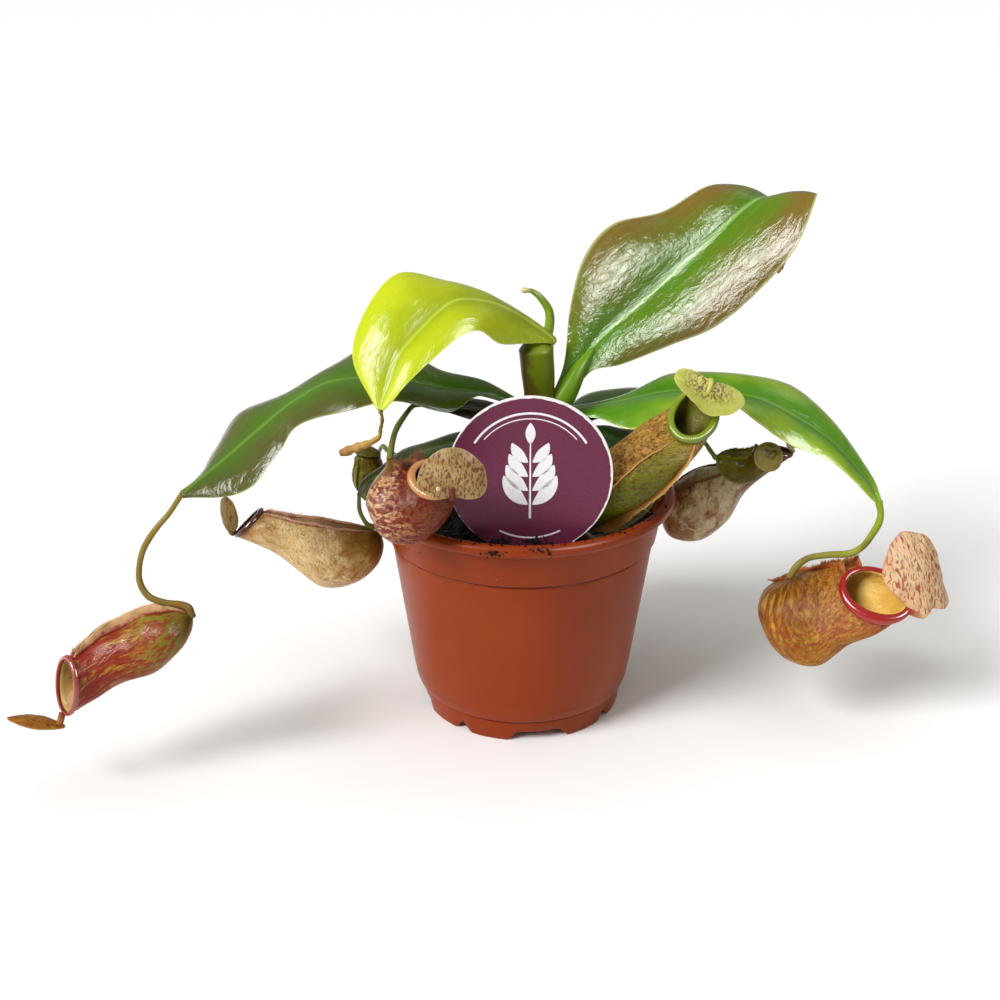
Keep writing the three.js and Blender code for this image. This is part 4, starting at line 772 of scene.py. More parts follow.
def blade_loops(stations, bulge, wave, waves, rows=130, half=15):
    """A leaf as rings round its thickness, one to each station u.

    At a share w of the way from rib to margin, reach away, the blade lies 4 bulge reach w(1 - w) above the
    straight line on both sides of the rib, its fold softened there, plus wave sin(pi u)^0.5 w^3 sin(2 pi
    waves u). It thins towards its margin, and a keel exp(-d^2) stands below the rib.
    """
    u = np.linspace(0, 1, rows)
    rib, left, right = (through(np.array(stations)[:, k], u)[:, None] for k in range(3))
    share = np.sin(np.linspace(-0.5, 0.5, 2 * half + 1) * np.pi)[None]
    w = np.abs(share)
    margin = np.where(share[..., None] < 0, left, right)
    reach = np.linalg.norm(margin - rib, axis=-1)
    forward = np.gradient(rib, axis=0)
    up = unit(np.cross(right - left, forward))
    taper = np.clip(np.sin(np.pi * u), 0, 1)[:, None] ** 0.5
    side_phase = np.where(share < 0, 0, 2)
    ripple = wave * taper * w ** 3 * np.sin(2 * np.pi * waves * u[:, None] + side_phase)
    fold = np.sqrt((w * reach) ** 2 + FOLD_SOFTNESS ** 2) - FOLD_SOFTNESS
    upwards = np.sign(up[rows // 2, 0, 2])
    height = upwards * 4 * bulge * fold * (1 - w) + ripple
    middle = rib + (margin - rib) * w[..., None] + up * height[..., None]
    normal = unit(np.cross(np.gradient(middle, axis=1), np.gradient(middle, axis=0)))
    normal = normal * np.sign(normal[..., 2].mean())
    thin = HALF_THICKNESS * (1 - 0.72 * w ** 4)
    across_mm = share * reach
    keel = (0.75 - 0.5 * u[:, None]) * np.exp(-(across_mm / KEEL_WIDTH) ** 2) * taper
    top = middle + normal * thin[..., None]
    under = middle - normal * (thin + keel)[..., None]
    loops = np.concatenate([top, under[:, ::-1]], axis=1)
    length = np.cumsum(np.linalg.norm(np.gradient(rib[:, 0], axis=0), axis=-1))[:, None]
    place = np.stack(np.broadcast_arrays(u[:, None], share, 1.0), -1)
    ruler = np.stack(np.broadcast_arrays(length, across_mm, reach), -1)
    flip = [1, 1, -1]
    return loops, {"leaf": np.concatenate([place, place[:, ::-1] * flip], 1),
                   "leaf_mm": np.concatenate([ruler, ruler[:, ::-1]], 1)}


def waxy_leaf(name, colours, quilting, vein_shows):
    """A living leaf: waxy skin over green flesh, glossy above and duller below.

    Its colour runs from rib to edge, least at its base, with cloudy patches, a pale vein along the rib, faint
    veins beside it about 2 mm apart, and a pale rim. The gloss is broken by quilting a few millimetres wide
    and fine grain.
    """
    at_rib, half_way, at_edge, vein, rim, below = colours
    material, tree, shader = new_material(name, Roughness=0.24, IOR=1.47, Specular_IOR_Level=0.2,
                                          Coat_Weight=0.6, Coat_Roughness=0.09)
    marks = add_node(tree, "Attribute", attribute_name="leaf").outputs["Vector"]
    leaf = add_node(tree, "SeparateXYZ", {0: marks})
    ruler = add_node(tree, "Attribute", attribute_name="leaf_mm").outputs["Vector"]
    across = add_node(tree, "SeparateXYZ", {0: ruler})
    place = add_node(tree, "TexCoord").outputs["Object"]
    away = add_node(tree, "Math", {0: leaf.outputs[1]}, operation="ABSOLUTE")
    cloud = add_node(tree, "TexNoise", {"Vector": place, "Scale": 70, "Detail": 5, "Roughness": 0.62})
    drift = add_node(tree, "MapRange", {"Value": cloud, 1: 0.3, 2: 0.7, 3: -0.24, 4: 0.24})
    edgeward = add_node(tree, "MapRange", {"Value": leaf.outputs[0], 1: 0.3, 2: 1.0, 4: 0.35})
    grown = add_node(tree, "MapRange", {"Value": leaf.outputs[0], 1: 0.1, 2: 0.42, 3: 0.3})
    share = add_node(tree, "Math", {0: away, 1: grown, 2: drift}, operation="MULTIPLY_ADD")
    share = add_node(tree, "Math", {0: share, 1: edgeward}, operation="ADD")
    flesh = add_node(tree, "ValToRGB", {"Fac": share}, [(0.05, at_rib), (0.45, half_way), (0.95, at_edge)])
    off_rib = add_node(tree, "Math", {0: across.outputs[1]}, operation="ABSOLUTE")
    stretched = add_node(tree, "Mapping", {"Vector": ruler, "Scale": (0.02, 0.55, 0)})
    side_veins = add_node(tree, "TexNoise", {"Vector": stretched, "Scale": 1, "Detail": 3})
    faint = add_node(tree, "MapRange", {"Value": side_veins, 1: 0.5, 2: 0.72, 4: 0.07})
    veined = add_node(tree, "MixRGB", {"Fac": faint, "Color1": flesh, "Color2": vein})
    on_rib = add_node(tree, "MapRange", {"Value": off_rib, 1: 0.9, 2: 0.1, 4: vein_shows})
    ribbed = add_node(tree, "MixRGB", {"Fac": on_rib, "Color1": veined, "Color2": vein})
    at_rim = add_node(tree, "MapRange", {"Value": away, 1: 0.955, 2: 0.985, 4: 0.85})
    rimmed = add_node(tree, "MixRGB", {"Fac": at_rim, "Color1": ribbed, "Color2": rim})
    turned = add_node(tree, "MapRange", {"Value": leaf.outputs[2], 1: 0.2, 2: -0.2, 4: 0.8})
    whole = add_node(tree, "MixRGB", {"Fac": turned, "Color1": rimmed, "Color2": below})
    drawn = add_node(tree, "Mapping", {"Vector": ruler, "Scale": (0.2, 0.6, 0.6)})
    quilt = add_node(tree, "TexNoise", {"Vector": drawn, "Scale": 1, "Detail": 4, "Roughness": 0.6,
                                        "Distortion": 0.8})
    puckers = add_node(tree, "Bump", {"Height": quilt, "Strength": quilting, "Distance": 0.0011})
    grain = add_node(tree, "TexNoise", {"Vector": place, "Scale": 1400, "Detail": 2})
    lines = add_node(tree, "Bump", {"Height": side_veins, "Strength": 0.12, "Distance": 0.0005,
                                    "Normal": puckers})
    fine = add_node(tree, "Bump", {"Height": grain, "Strength": 0.12, "Distance": 0.0002, "Normal": lines})
    feed(shader, {"Base Color": whole, "Normal": fine, "Coat Normal": fine})
    return material


for node, stations in LEAVES.items():
    bulge, wave, waves, colours, quilting, vein_shows = LEAF_LOOKS[node]
    loops, marks = blade_loops(stations, bulge, wave, waves)
    slot = "young_leaf" if node == "leaf_young_left" else "leaf"
    settle(lofted(node + "_blade", loops, marks), waxy_leaf(node + "_wax", colours, quilting, vein_shows),
           slot, node)

loops, marks = shoot_loops(SHEATH_LINE, SHEATH_RADII, rows=80, sides=40, swell=rolled_swell)
clasping = living_shoot("clasping_base", [(0, "#4c6a06"), (0.4, "#68910a"), (1, "#6a9610")], "#7a8a20")
settle(lofted("upper_leaf_base", loops, marks), clasping, "leaf")


# Tendrils: the leaf's midrib runs on as a wiry stalk, curls down and up again, and swells into a pitcher.
# Each starts green like its leaf and turns straw-coloured, and the two that never made a pitcher have dried.

TENDRILS = {
    "tendril_far_left": (
        [[-91.4, -40.6, 82.2], [-94.4, -41.5, 78], [-98, -42.5, 74], [-101.4, -43, 69], [-103.1, -43.5, 64],
         [-103.4, -44, 59], [-101.3, -44.5, 55], [-97, -45, 53.4], [-93, -45, 52.9], [-90.8, -45, 51.8],
         [-90.2, -45, 49.8]],
        [0.75, 0.8, 0.85, 0.9, 1.1], ["#8f7c2c", "#86702a", "#846626", "#745a1c"]),
    "tendril_mid_left": (
        [[-48.3, -2, 66.2], [-48.4, -1.4, 62], [-47.4, -0.8, 58.5], [-46, -0.4, 56.4], [-43.6, 0, 55.4],
         [-42.4, 0, 53.5]],
        [0.6, 0.7, 1], ["#5f7a2a", "#7c8a40", "#8a8c44", "#80803a"]),
    "tendril_front_left": (
        [[-26.8, 1.7, 93.4], [-30, -0.5, 94.4], [-31.8, -4, 95], [-33.8, -10, 94], [-35.4, -18, 93.2],
         [-36, -26, 92], [-36.3, -30.2, 89.6]],
        [0.7, 0.75, 1], ["#5a7a2a", "#5f7f2c", "#6a7a30", "#7a6a30"]),
    "tendril_right_front": (
        [[38.9, -4.3, 73.5], [39.2, -6, 70], [35.5, -12, 66], [27, -20, 63.4], [20, -24.8, 63.2],
         [17.3, -25.2, 64.8]],
        [0.8, 0.9, 1.1], ["#5a7a2a", "#6a7a30", "#7a7a38", "#6f6a30"]),
    "tendril_right_back": (
        [[52.4, 33.4, 76.8], [52.6, 33.2, 72.5], [49.6, 29.5, 68.5], [46.6, 25, 65], [45.2, 22.2, 60]],
        [0.7, 0.8, 1], ["#6a8a3a", "#7a8a40", "#8a8448", "#8a7a44"]),
    "tendril_far_right": (
        [[101.8, -14.3, 68.9], [102.3, -14.8, 66.5], [102, -15, 63.5], [100.4, -14.5, 59.3],
         [98.6, -13.5, 55.4], [95.2, -12.3, 52.6], [89.5, -11.4, 51.8], [84, -11.4, 50.8], [80.6, -12, 48.6],
         [79, -12, 45.6]],
        [1.1, 0.95, 0.95, 1.1], ["#7c9a20", "#909c28", "#8a8434", "#80702e"]),
    "tendril_small_left": (
        [[-36.5, 15.6, 71.8], [-41, 20, 72.2], [-43.6, 28, 71], [-45.6, 34, 66], [-48, 34, 59.5],
         [-48.8, 31.6, 53], [-48.9, 28.2, 51], [-48.7, 26.2, 52.2]],
        [0.6, 0.7, 0.8], ["#5a7a2a", "#5f7f2c", "#6a7a30", "#5f6f28"]),
    "tendril_small_right": (
        [[49.8, 8.1, 83.9], [54, 7, 80.2], [55.6, 5.4, 78.2], [56.8, 4.2, 76.8]],
        [0.6, 0.65, 0.9], ["#5a7a2a", "#5f7f2c", "#5a6f28", "#5a6a26"]),
}
DRIED_TENDRILS = {
    "tendril_dried_upper": (
        [[87.2, 72.6, 120], [86.9, 73.3, 117.6], [85.6, 73, 115.6]],
        [0.7, 0.6, 0.45], ["#9c7c3c", "#a07a3c", "#8f6a30", "#7a5228"]),
    "tendril_dried_young": (
        [[-38.8, -25.4, 100.6], [-38.5, -25.2, 98.6], [-39, -25, 96], [-39.6, -25, 93.6], [-41.8, -25, 92],
         [-45.5, -25, 90.5], [-50, -25, 89]],
        [0.7, 0.5, 0.5, 0.6, 1, 1.2, 0.45], ["#a08a34", "#a88830", "#b8924a", "#9c5c34"]),
}
ROOTED, DRIED_ROOTED = 1.1, 0.2


def sunk(line, reach):
    """A curve with both ends carried on by a reach in mm, so that it runs into what it joins."""
    line = np.array(line, float)
    before, after = unit(line[0] - line[1]), unit(line[-1] - line[-2])
    return np.concatenate([[line[0] + reach * before], line, [line[-1] + reach * after]])


def wiry_swell(u, angle):
    """A stalk's uneven roundness: slow lumps, a flat groove, and a round free end."""
    lumps = 0.05 * np.sin(23 * u + 1) + 0.05 * np.cos(2 * angle + 5 * u)
    return (1 + lumps) * np.sqrt(np.clip((1 - u) / 0.015, 0.1, 1))


def shrivelled_swell(u, angle):
    """A dried stalk's knobs, short waves both along it and round it, and a round free end."""
    knobs = 0.13 * np.sin(61 * u + 2 * np.sin(17 * u)) + 0.1 * np.sin(27 * u + 1) * np.cos(angle + 9 * u)
    return (1 + knobs + 0.07 * np.cos(3 * angle - 20 * u)) * np.sqrt(np.clip((1 - u) / 0.03, 0.1, 1))


for node, (line, radii, colours) in {**TENDRILS, **DRIED_TENDRILS}.items():
    dried = node in DRIED_TENDRILS
    swell = shrivelled_swell if dried else wiry_swell
    line = sunk(line, DRIED_ROOTED if dried else ROOTED)
    loops, marks = shoot_loops(line, radii, rows=110, sides=22, swell=swell)
    stops = list(zip((0.05, 0.4, 0.7, 0.98), colours))
    wiry = living_shoot(node + "_skin", stops, "#54381a" if dried else "#74642a", 0.6 if dried else 0.38)
    settle(lofted(node + "_stalk", loops, marks), wiry, "dried_tendril" if dried else "tendril", node)


# Pitchers: hollow cups of leaf tissue, each hanging from its tendril and curving up or out to its mouth. Two
# ragged wings run down the front. The wall is blotched, finely wrinkled outside and smooth and waxy inside.
# Each row is a ring from the tendril to the mouth: a point on the winged front seam, one on the back, and the
# half width; "across" is the way the half width runs at base and mouth.

PITCHERS = {
    "far_left": {
        "rise": 0.2, "across": [[0, -1, 0.1], [0.62, -0.78, 0]],
        "rings": [
            [[-90.9, -45, 50.4], [-89.7, -45, 49.2], 0.9],
            [[-94, -45, 51.2], [-90.4, -46, 45.2], 4],
            [[-98, -45.6, 51], [-93.4, -47, 40.4], 6.8],
            [[-103.2, -46, 49.8], [-100, -48, 35], 8],
            [[-109, -46.4, 46.8], [-106.4, -48.4, 32.6], 7.4],
            [[-113.6, -48, 45.2], [-112.2, -50, 31], 6.5],
            [[-118, -50.4, 42.6], [-118, -52, 27.8], 6.2],
            [[-121.2, -53.6, 41.2], [-124, -54.6, 25], 6.3],
        ],
    },
    "mid_left": {
        "rise": 0.3, "across": [[0, -1, 0.1], [0, -1, 0.1]],
        "rings": [
            [[-43.8, 0, 54.2], [-42.2, 0, 52.6], 0.9],
            [[-46.6, 0, 55], [-41.8, -1, 49.2], 4.3],
            [[-51, 0.4, 55.4], [-44, -2, 44], 7.3],
            [[-56.2, 1, 56], [-50.2, -3, 38.6], 8.8],
            [[-62, 1, 57.2], [-59.8, -3, 37.6], 8.6],
            [[-68, 1, 57.8], [-67.6, -2, 42.8], 7],
            [[-72.8, 1, 59], [-74.8, -1, 48.6], 6],
            [[-77.8, 1.6, 60], [-85.6, 1, 52.2], 5.7],
        ],
    },
    "front_left": {
        "rise": 0.3, "across": [[-0.1, 1, -0.2], [0.65, 0.75, 0.14]],
        "rings": [
            [[-35.5, -30.5, 89.2], [-37.1, -30.5, 89.2], 0.9],
            [[-32.4, -31, 88.4], [-37.8, -31.5, 87], 4.2],
            [[-31.6, -31.5, 88.6], [-41.6, -33.5, 82.6], 7],
            [[-31.2, -32.5, 88.6], [-41.4, -36.5, 77.5], 8.5],
            [[-30.8, -33.5, 88.6], [-37.9, -39.5, 72], 9.4],
            [[-30.4, -34.5, 88.6], [-31.6, -41.5, 69.6], 9.6],
            [[-29.8, -35.5, 88.8], [-25.2, -43.5, 72.4], 9],
            [[-29, -36.2, 89], [-21, -44.4, 78], 7.6],
            [[-28.4, -36.8, 89.4], [-20.2, -44.6, 84.4], 6.2],
        ],
    },
    "right_front": {
        "rise": 2.6, "across": [[-0.85, -0.3, 0.4], [-0.93, 0.34, 0.12]],
        "rings": [
            [[17.9, -25.7, 65.6], [16.5, -24.5, 65.9], 0.9],
            [[20.9, -28.2, 70.2], [18.3, -19.3, 72.4], 4.8],
            [[25.9, -30.4, 75.9], [23.1, -14.8, 77.2], 8.4],
            [[32, -31.4, 82.6], [30, -12.8, 82.8], 9.8],
            [[37.4, -30, 87.6], [37, -12.4, 89.8], 9.2],
            [[41, -27.8, 90.4], [43.8, -12, 96.2], 7.6],
            [[43.6, -25.6, 92.6], [49.2, -12.2, 100.6], 6],
        ],
    },
    "right_back": {
        "rise": 0.3, "across": [[0, 1, 0], [0.1, 1, 0]],
        "rings": [
            [[46.1, 22, 59.4], [44.4, 22, 59], 0.9],
            [[48.2, 22, 60], [43.4, 22.5, 52.5], 4.3],
            [[51.6, 22, 62.6], [46.8, 22.5, 43.5], 8.4],
            [[56, 22, 65], [57, 22.5, 42], 9.8],
            [[62, 23, 66], [65, 23, 48], 8.5],
            [[66.5, 24, 66.8], [70, 24, 57], 6.1],
            [[71.6, 25, 67.8], [77, 25, 63], 4.6],
            [[77.6, 26, 69.8], [84.4, 25, 68.8], 3.6],
        ],
    },
    "far_right": {
        "rise": 0.4, "across": [[-0.2, 0.95, -0.3], [0.67, 0.55, 0.49]],
        "rings": [
            [[79.9, -12, 45.3], [78.3, -12, 44.1], 0.9],
            [[82, -12, 44.8], [72, -14, 41.6], 4.9],
            [[83.8, -12, 45.4], [69.2, -17, 37.2], 8.7],
            [[85.4, -12, 45.8], [70.8, -19, 30.4], 10.6],
            [[87.4, -12.4, 46.6], [78.6, -21, 23.6], 11.6],
            [[89.8, -13, 47], [88, -23, 24], 11.4],
            [[92, -14.2, 47.4], [95.4, -25, 31.4], 10.2],
            [[93.4, -15.6, 47.6], [103, -27, 35.4], 9],
            [[93.8, -17, 47.2], [108.8, -28.4, 41.4], 7.6],
        ],
    },
    "small_left": {
        "rise": 0, "across": [[-0.35, 0.94, 0], [-0.35, 0.94, 0]],
        "rings": [
            [[-49.4, 26, 53], [-48, 26, 53], 0.8],
            [[-51, 26, 55.2], [-46.8, 26, 55.2], 2.2],
            [[-52.4, 25.2, 59], [-44.6, 27.2, 57.8], 3.8],
            [[-52.4, 24.6, 62.8], [-43.2, 28, 61.2], 4.5],
            [[-51.8, 24.8, 65.8], [-43.6, 27.8, 64.8], 3.9],
            [[-51.6, 25, 68.4], [-44.4, 27.6, 67.8], 3.6],
        ],
    },
    "small_right": {
        "rise": 0, "across": [[0.2, 0.98, 0], [0.58, 0.77, 0.22]],
        "rings": [
            [[57.6, 4, 77.3], [57.2, 4, 75.7], 0.8],
            [[59.5, 4, 77.8], [58.2, 4, 73], 3],
            [[61.7, 3.8, 78], [61.7, 3.8, 69.4], 4.3],
            [[64.6, 2.6, 78.4], [65.6, 2.6, 69.2], 4.7],
            [[66.6, 0.4, 79.8], [69.6, 0, 71.2], 4.4],
            [[67.6, -1.6, 81.8], [72, -3, 75.2], 3.8],
        ],
    },
}
YOUNG = ("small_left", "small_right")
# For each pitcher: the wall's colours from tendril to mouth; its layers of marks as colour, share of the
# skin, size along and round the cup in mm, where along the cup they start and end, and softness; the colours
# of the panel between the wings from tendril to mouth, and how much it shows; the inside's two colours; how
# deep its wrinkles are, and their size along and round in mm; and the wings' colours from root to edge. Where
# "upright", the marks stand level and upright on the whole pitcher, and don't follow its curve.
PITCHER_LOOKS = {
    "far_left": {
        "wall": ["#5a4a10", "#74681a", "#85782a", "#8a6420", "#8c3818", "#8e2c20", "#882820"],
        "layers": [("#8c2a18", 0.42, 5, 1.8, 0.1, 0.6, 0.05), ("#b08428", 0.24, 6, 0.8, 0.45, 1, 0.05),
                   ("#7c1c1c", 0.3, 3, 0.7, 0.4, 1, 0.04)],
        "panel": (["#7a5a20", "#a0603a", "#a8584a"], 0.5), "inside": ["#c4a465", "#b08a50"],
        "wrinkles": (0.4, 4, 1.1), "wing": ["#993f36", "#c69a6c", "#cfa878"]},
    "mid_left": {
        "wall": ["#5c4a12", "#86641c", "#c8a468", "#dcbc84", "#d6b074", "#a0703e"],
        "layers": [("#a2682c", 0.3, 5, 3.5, 0, 0.6, 0.09), ("#7e4c1c", 0.16, 2.4, 1.2, 0, 0.45, 0.05),
                   ("#e0c698", 0.3, 3, 2, 0.4, 0.9, 0.09), ("#96622e", 0.14, 0.7, 0.6, 0.25, 1, 0.06)],
        "panel": (["#6a4416", "#7c4a20", "#6f4222"], 0.7), "inside": ["#a07a48", "#6f4c2a"],
        "wrinkles": (0.75, 1.6, 1.1), "wing": ["#7c4624", "#b4846a", "#c09a84"]},
    "front_left": {
        "upright": True,
        "wall": ["#6a4a14", "#b8885a", "#cda27a", "#b07c50", "#7c4622", "#6a2e14"],
        "layers": [("#dcb890", 0.3, 1.5, 2, 0.1, 0.6, 0.06), ("#641418", 0.36, 0.9, 1.1, 0.1, 1, 0.04),
                   ("#68141c", 0.5, 1.0, 3.4, 0.06, 0.8, 0.03)],
        "panel": (["#743a1c", "#6c3418", "#6a3014"], 0.7), "inside": ["#4a3418", "#6a4c24"],
        "wrinkles": (0.4, 2, 1.6), "wing": ["#74381c", "#8a4a24", "#7a3a20"]},
    "right_front": {
        "wall": ["#5c4a12", "#84581c", "#946224", "#a4722c", "#ac8034", "#968028"],
        "layers": [("#74501a", 0.4, 3.4, 2, 0, 1, 0.14), ("#c09850", 0.34, 2.4, 1.5, 0, 1, 0.12),
                   ("#5a300c", 0.34, 0.8, 0.7, 0, 1, 0.05)],
        # The right front cup's inside colours are olive darkened by painted shade, as dark as its shaded
        # inside.
        "panel": (["#4a6004", "#5a6208", "#887c1c"], 0.92), "inside": ["#45400a", "#6a681c"],
        "wrinkles": (0.5, 1.3, 0.9), "wing": ["#8a5a24", "#a87434", "#c09858"]},
    "right_back": {
        "wall": ["#7c5418", "#94682a", "#b89c6c", "#ccb48c", "#946838", "#64401c"],
        "layers": [("#8a4a44", 0.38, 5, 3.4, 0.15, 0.8, 0.09), ("#d6c8a0", 0.42, 3.4, 2.4, 0.25, 0.75, 0.09),
                   ("#4c2a0a", 0.08, 0.9, 0.7, 0.1, 1, 0.05)],
        "panel": (["#6a4c20", "#7a5a30", "#503a10"], 0.2), "inside": ["#8a7040", "#6a5028"],
        "wrinkles": (0.35, 2.6, 1.6), "wing": ["#5c3c18", "#6a4420", "#6f4a28"]},
    "far_right": {
        "wall": ["#5c3408", "#7e4a12", "#966018", "#a46e20", "#a8702a", "#a0602e"],
        "layers": [("#c0963a", 0.34, 3, 2.2, 0, 0.9, 0.12), ("#78300e", 0.38, 1.8, 0.9, 0, 1, 0.1),
                   ("#9a3420", 0.26, 2.2, 0.6, 0.3, 1, 0.05)],
        # The far right cup's inside colours are painted light: brighter than its tissue, for light shining
        # through its thin wall.
        "panel": (["#a05a20", "#ac6228", "#b06a30"], 0.5), "inside": ["#d8a848", "#f0cc70"],
        "wrinkles": (0.6, 1.4, 1.1), "wing": ["#8a4018", "#9c5428", "#b8743e"]},
    "small_left": {
        "wall": ["#5a6c04", "#646c06", "#6a6406", "#6a5a08", "#6a540e"],
        "layers": [("#4a4804", 0.34, 4, 2.4, 0, 1, 0.12), ("#302004", 0.2, 1.2, 0.7, 0, 1, 0.04)],
        "panel": (["#566404", "#5a6004", "#5a5808"], 0.5), "inside": ["#5a5a18", "#5a5a18"],
        "wrinkles": (0.25, 3, 1.2), "wing": ["#546004", "#66660c", "#6e6a14"]},
    "small_right": {
        "wall": ["#66740a", "#66640a", "#645c06", "#625606", "#66540c"],
        "layers": [("#4a4004", 0.3, 4, 2.4, 0, 1, 0.12), ("#3a2404", 0.1, 1.2, 0.7, 0, 1, 0.04)],
        "panel": (["#5a6408", "#5c5c08", "#605c0c"], 0.5), "inside": ["#5a5a18", "#5a5a18"],
        "wrinkles": (0.25, 3, 1.2), "wing": ["#566404", "#66640c", "#6f6a18"]},
}
# For each wing, rows of: the place along the cup, the angle from the front seam in degrees and the height in
# mm. Then how ragged the edge is, how far it waves, and its hairs: count, from and to along the cup, and
# length in mm.
WINGS = {
    "far_left": {
        "near": [(0.06, -34, 0.2), (0.3, -30, 2), (0.7, -26, 2.2), (0.97, -20, 0.7)],
        "far": [(0.06, 10, 0.2), (0.25, 6, 2), (0.5, 4, 3.2), (0.75, 4, 3), (0.97, 4, 1)],
        "ragged": 0.06, "waving": 0.3, "hairs": (14, 0.86, 0.97, 1.1)},
    "mid_left": {
        "near": [(0.06, -24, 0.2), (0.3, -22, 1), (0.7, -20, 1.1), (0.97, -16, 0.7)],
        "far": [(0.06, 24, 0.2), (0.3, 22, 0.9), (0.7, 20, 1), (0.97, 16, 0.7)],
        "ragged": 0.08, "waving": 0.5, "hairs": (36, 0.66, 0.97, 1.0)},
    "front_left": {
        "near": [(0.06, -26, 0.2), (0.3, -26, 1.5), (0.7, -22, 1.8), (0.97, -20, 1.1)],
        "far": [(0.06, 22, 0.2), (0.3, 20, 1.4), (0.7, 18, 1.7), (0.97, 16, 1)],
        "ragged": 0.3, "waving": 0.3, "hairs": (150, 0.12, 0.97, 2.9)},
    "right_front": {
        "near": [(0.05, -66, 3), (0.1, -66, 4.4), (0.18, -62, 3.8), (0.3, -54, 1.8), (0.6, -44, 0.8),
                 (0.97, -28, 0.6)],
        "far": [(0.06, 30, 0.3), (0.3, 32, 0.8), (0.6, 31, 0.8), (0.97, 24, 0.6)],
        "ragged": 0.16, "waving": 0.3, "hairs": (24, 0.1, 0.97, 1.6)},
    "right_back": {
        "near": [(0.06, -30, 0.2), (0.3, -30, 0.8), (0.7, -28, 0.8), (0.97, -26, 0.4)],
        "far": [(0.06, 30, 0.2), (0.3, 30, 0.8), (0.7, 28, 0.8), (0.97, 26, 0.4)],
        "ragged": 0.12, "waving": 0.25, "hairs": (10, 0.4, 0.97, 0.7)},
    "far_right": {
        "near": [(0.07, 118, 0.6), (0.1, 112, 5.2), (0.15, 88, 3.4), (0.22, 56, 1.8), (0.35, 30, 1.3),
                 (0.6, 16, 1.5),
                 (0.97, 6, 2.5)],
        "far": [(0.07, 92, 0.4), (0.3, 66, 1.6), (0.6, 50, 2.6), (0.97, 40, 3.6)],
        "ragged": 0.22, "waving": 0.5, "hairs": (260, 0.08, 0.97, 0.9)},
    "small_left": {
        "near": [(0.06, -30, 0.1), (0.4, -28, 0.7), (0.97, -24, 0.5)],
        "far": [(0.06, 30, 0.1), (0.4, 28, 0.7), (0.97, 24, 0.5)],
        "ragged": 0.3, "waving": 0.2, "hairs": (30, 0.1, 0.97, 0.6)},
    "small_right": {
        "near": [(0.06, -30, 0.2), (0.4, -34, 1.2), (0.97, -36, 1)],
        "far": [(0.06, 30, 0.1), (0.4, 28, 0.9), (0.97, 24, 0.7)],
        "ragged": 0.35, "waving": 0.3, "hairs": (50, 0.1, 0.97, 0.6)},
}
CUP_SLOTS = {"far_left": "cup_red", "mid_left": "cup_tan", "front_left": "cup_spotted",
             "right_front": "cup_orange", "right_back": "cup_cream", "far_right": "cup_yellow",
             "small_left": "cup_young", "small_right": "cup_young"}
CUP_WALL = 0.8
CUP_INSIDE_TO = 0.35
CUP_INSIDE_RINGS = 40
HAIR_RADIUS = 0.085
HAIR_SINK = 0.2
WING_SINK = 0.35
# Places across a wing, from its sunk root to its edge.
WING_SHARES = [-0.1, 0.15, 0.4, 0.7, 0.9, 1]


def ring_frame(parts, u):
    """At each u: the ring's middle, its half axis from front seam to back, its half width and the way out."""
    front, back, half = (np.array([row[k] for row in parts["rings"]], float) for k in range(3))
    deep = (through(back, u) - through(front, u)) / 2
    base, mouth = np.array(parts["across"], float)
    side = unit(base + (mouth - base) * u[:, None])
    out = unit(np.cross(deep, side))
    return through((front + back) / 2, u), deep, side * through(half[:, None], u), out


def on_ring(centre, deep, side, angle, scale=1):
    """centre - scale deep cos(angle) + scale side sin(angle), where angle 0 is the front seam."""
    c, s = np.cos(angle)[..., None], np.sin(angle)[..., None]
    return centre + np.asarray(scale)[..., None] * (side * s - deep * c)


def wing_course(rows, u):
    """A wing's angle in radians and height at each u: its rows joined by lines, then smoothed a little."""
    place, angle, height = np.array(rows, float).T
    fine = np.linspace(-0.1, 1.1, 481)
    soft = np.hanning(33) / np.hanning(33).sum()
    angle, height = (np.convolve(np.interp(fine, place, v), soft, "same")
                     for v in (np.radians(angle), height))
    return np.interp(u, fine, angle), np.interp(u, fine, height)


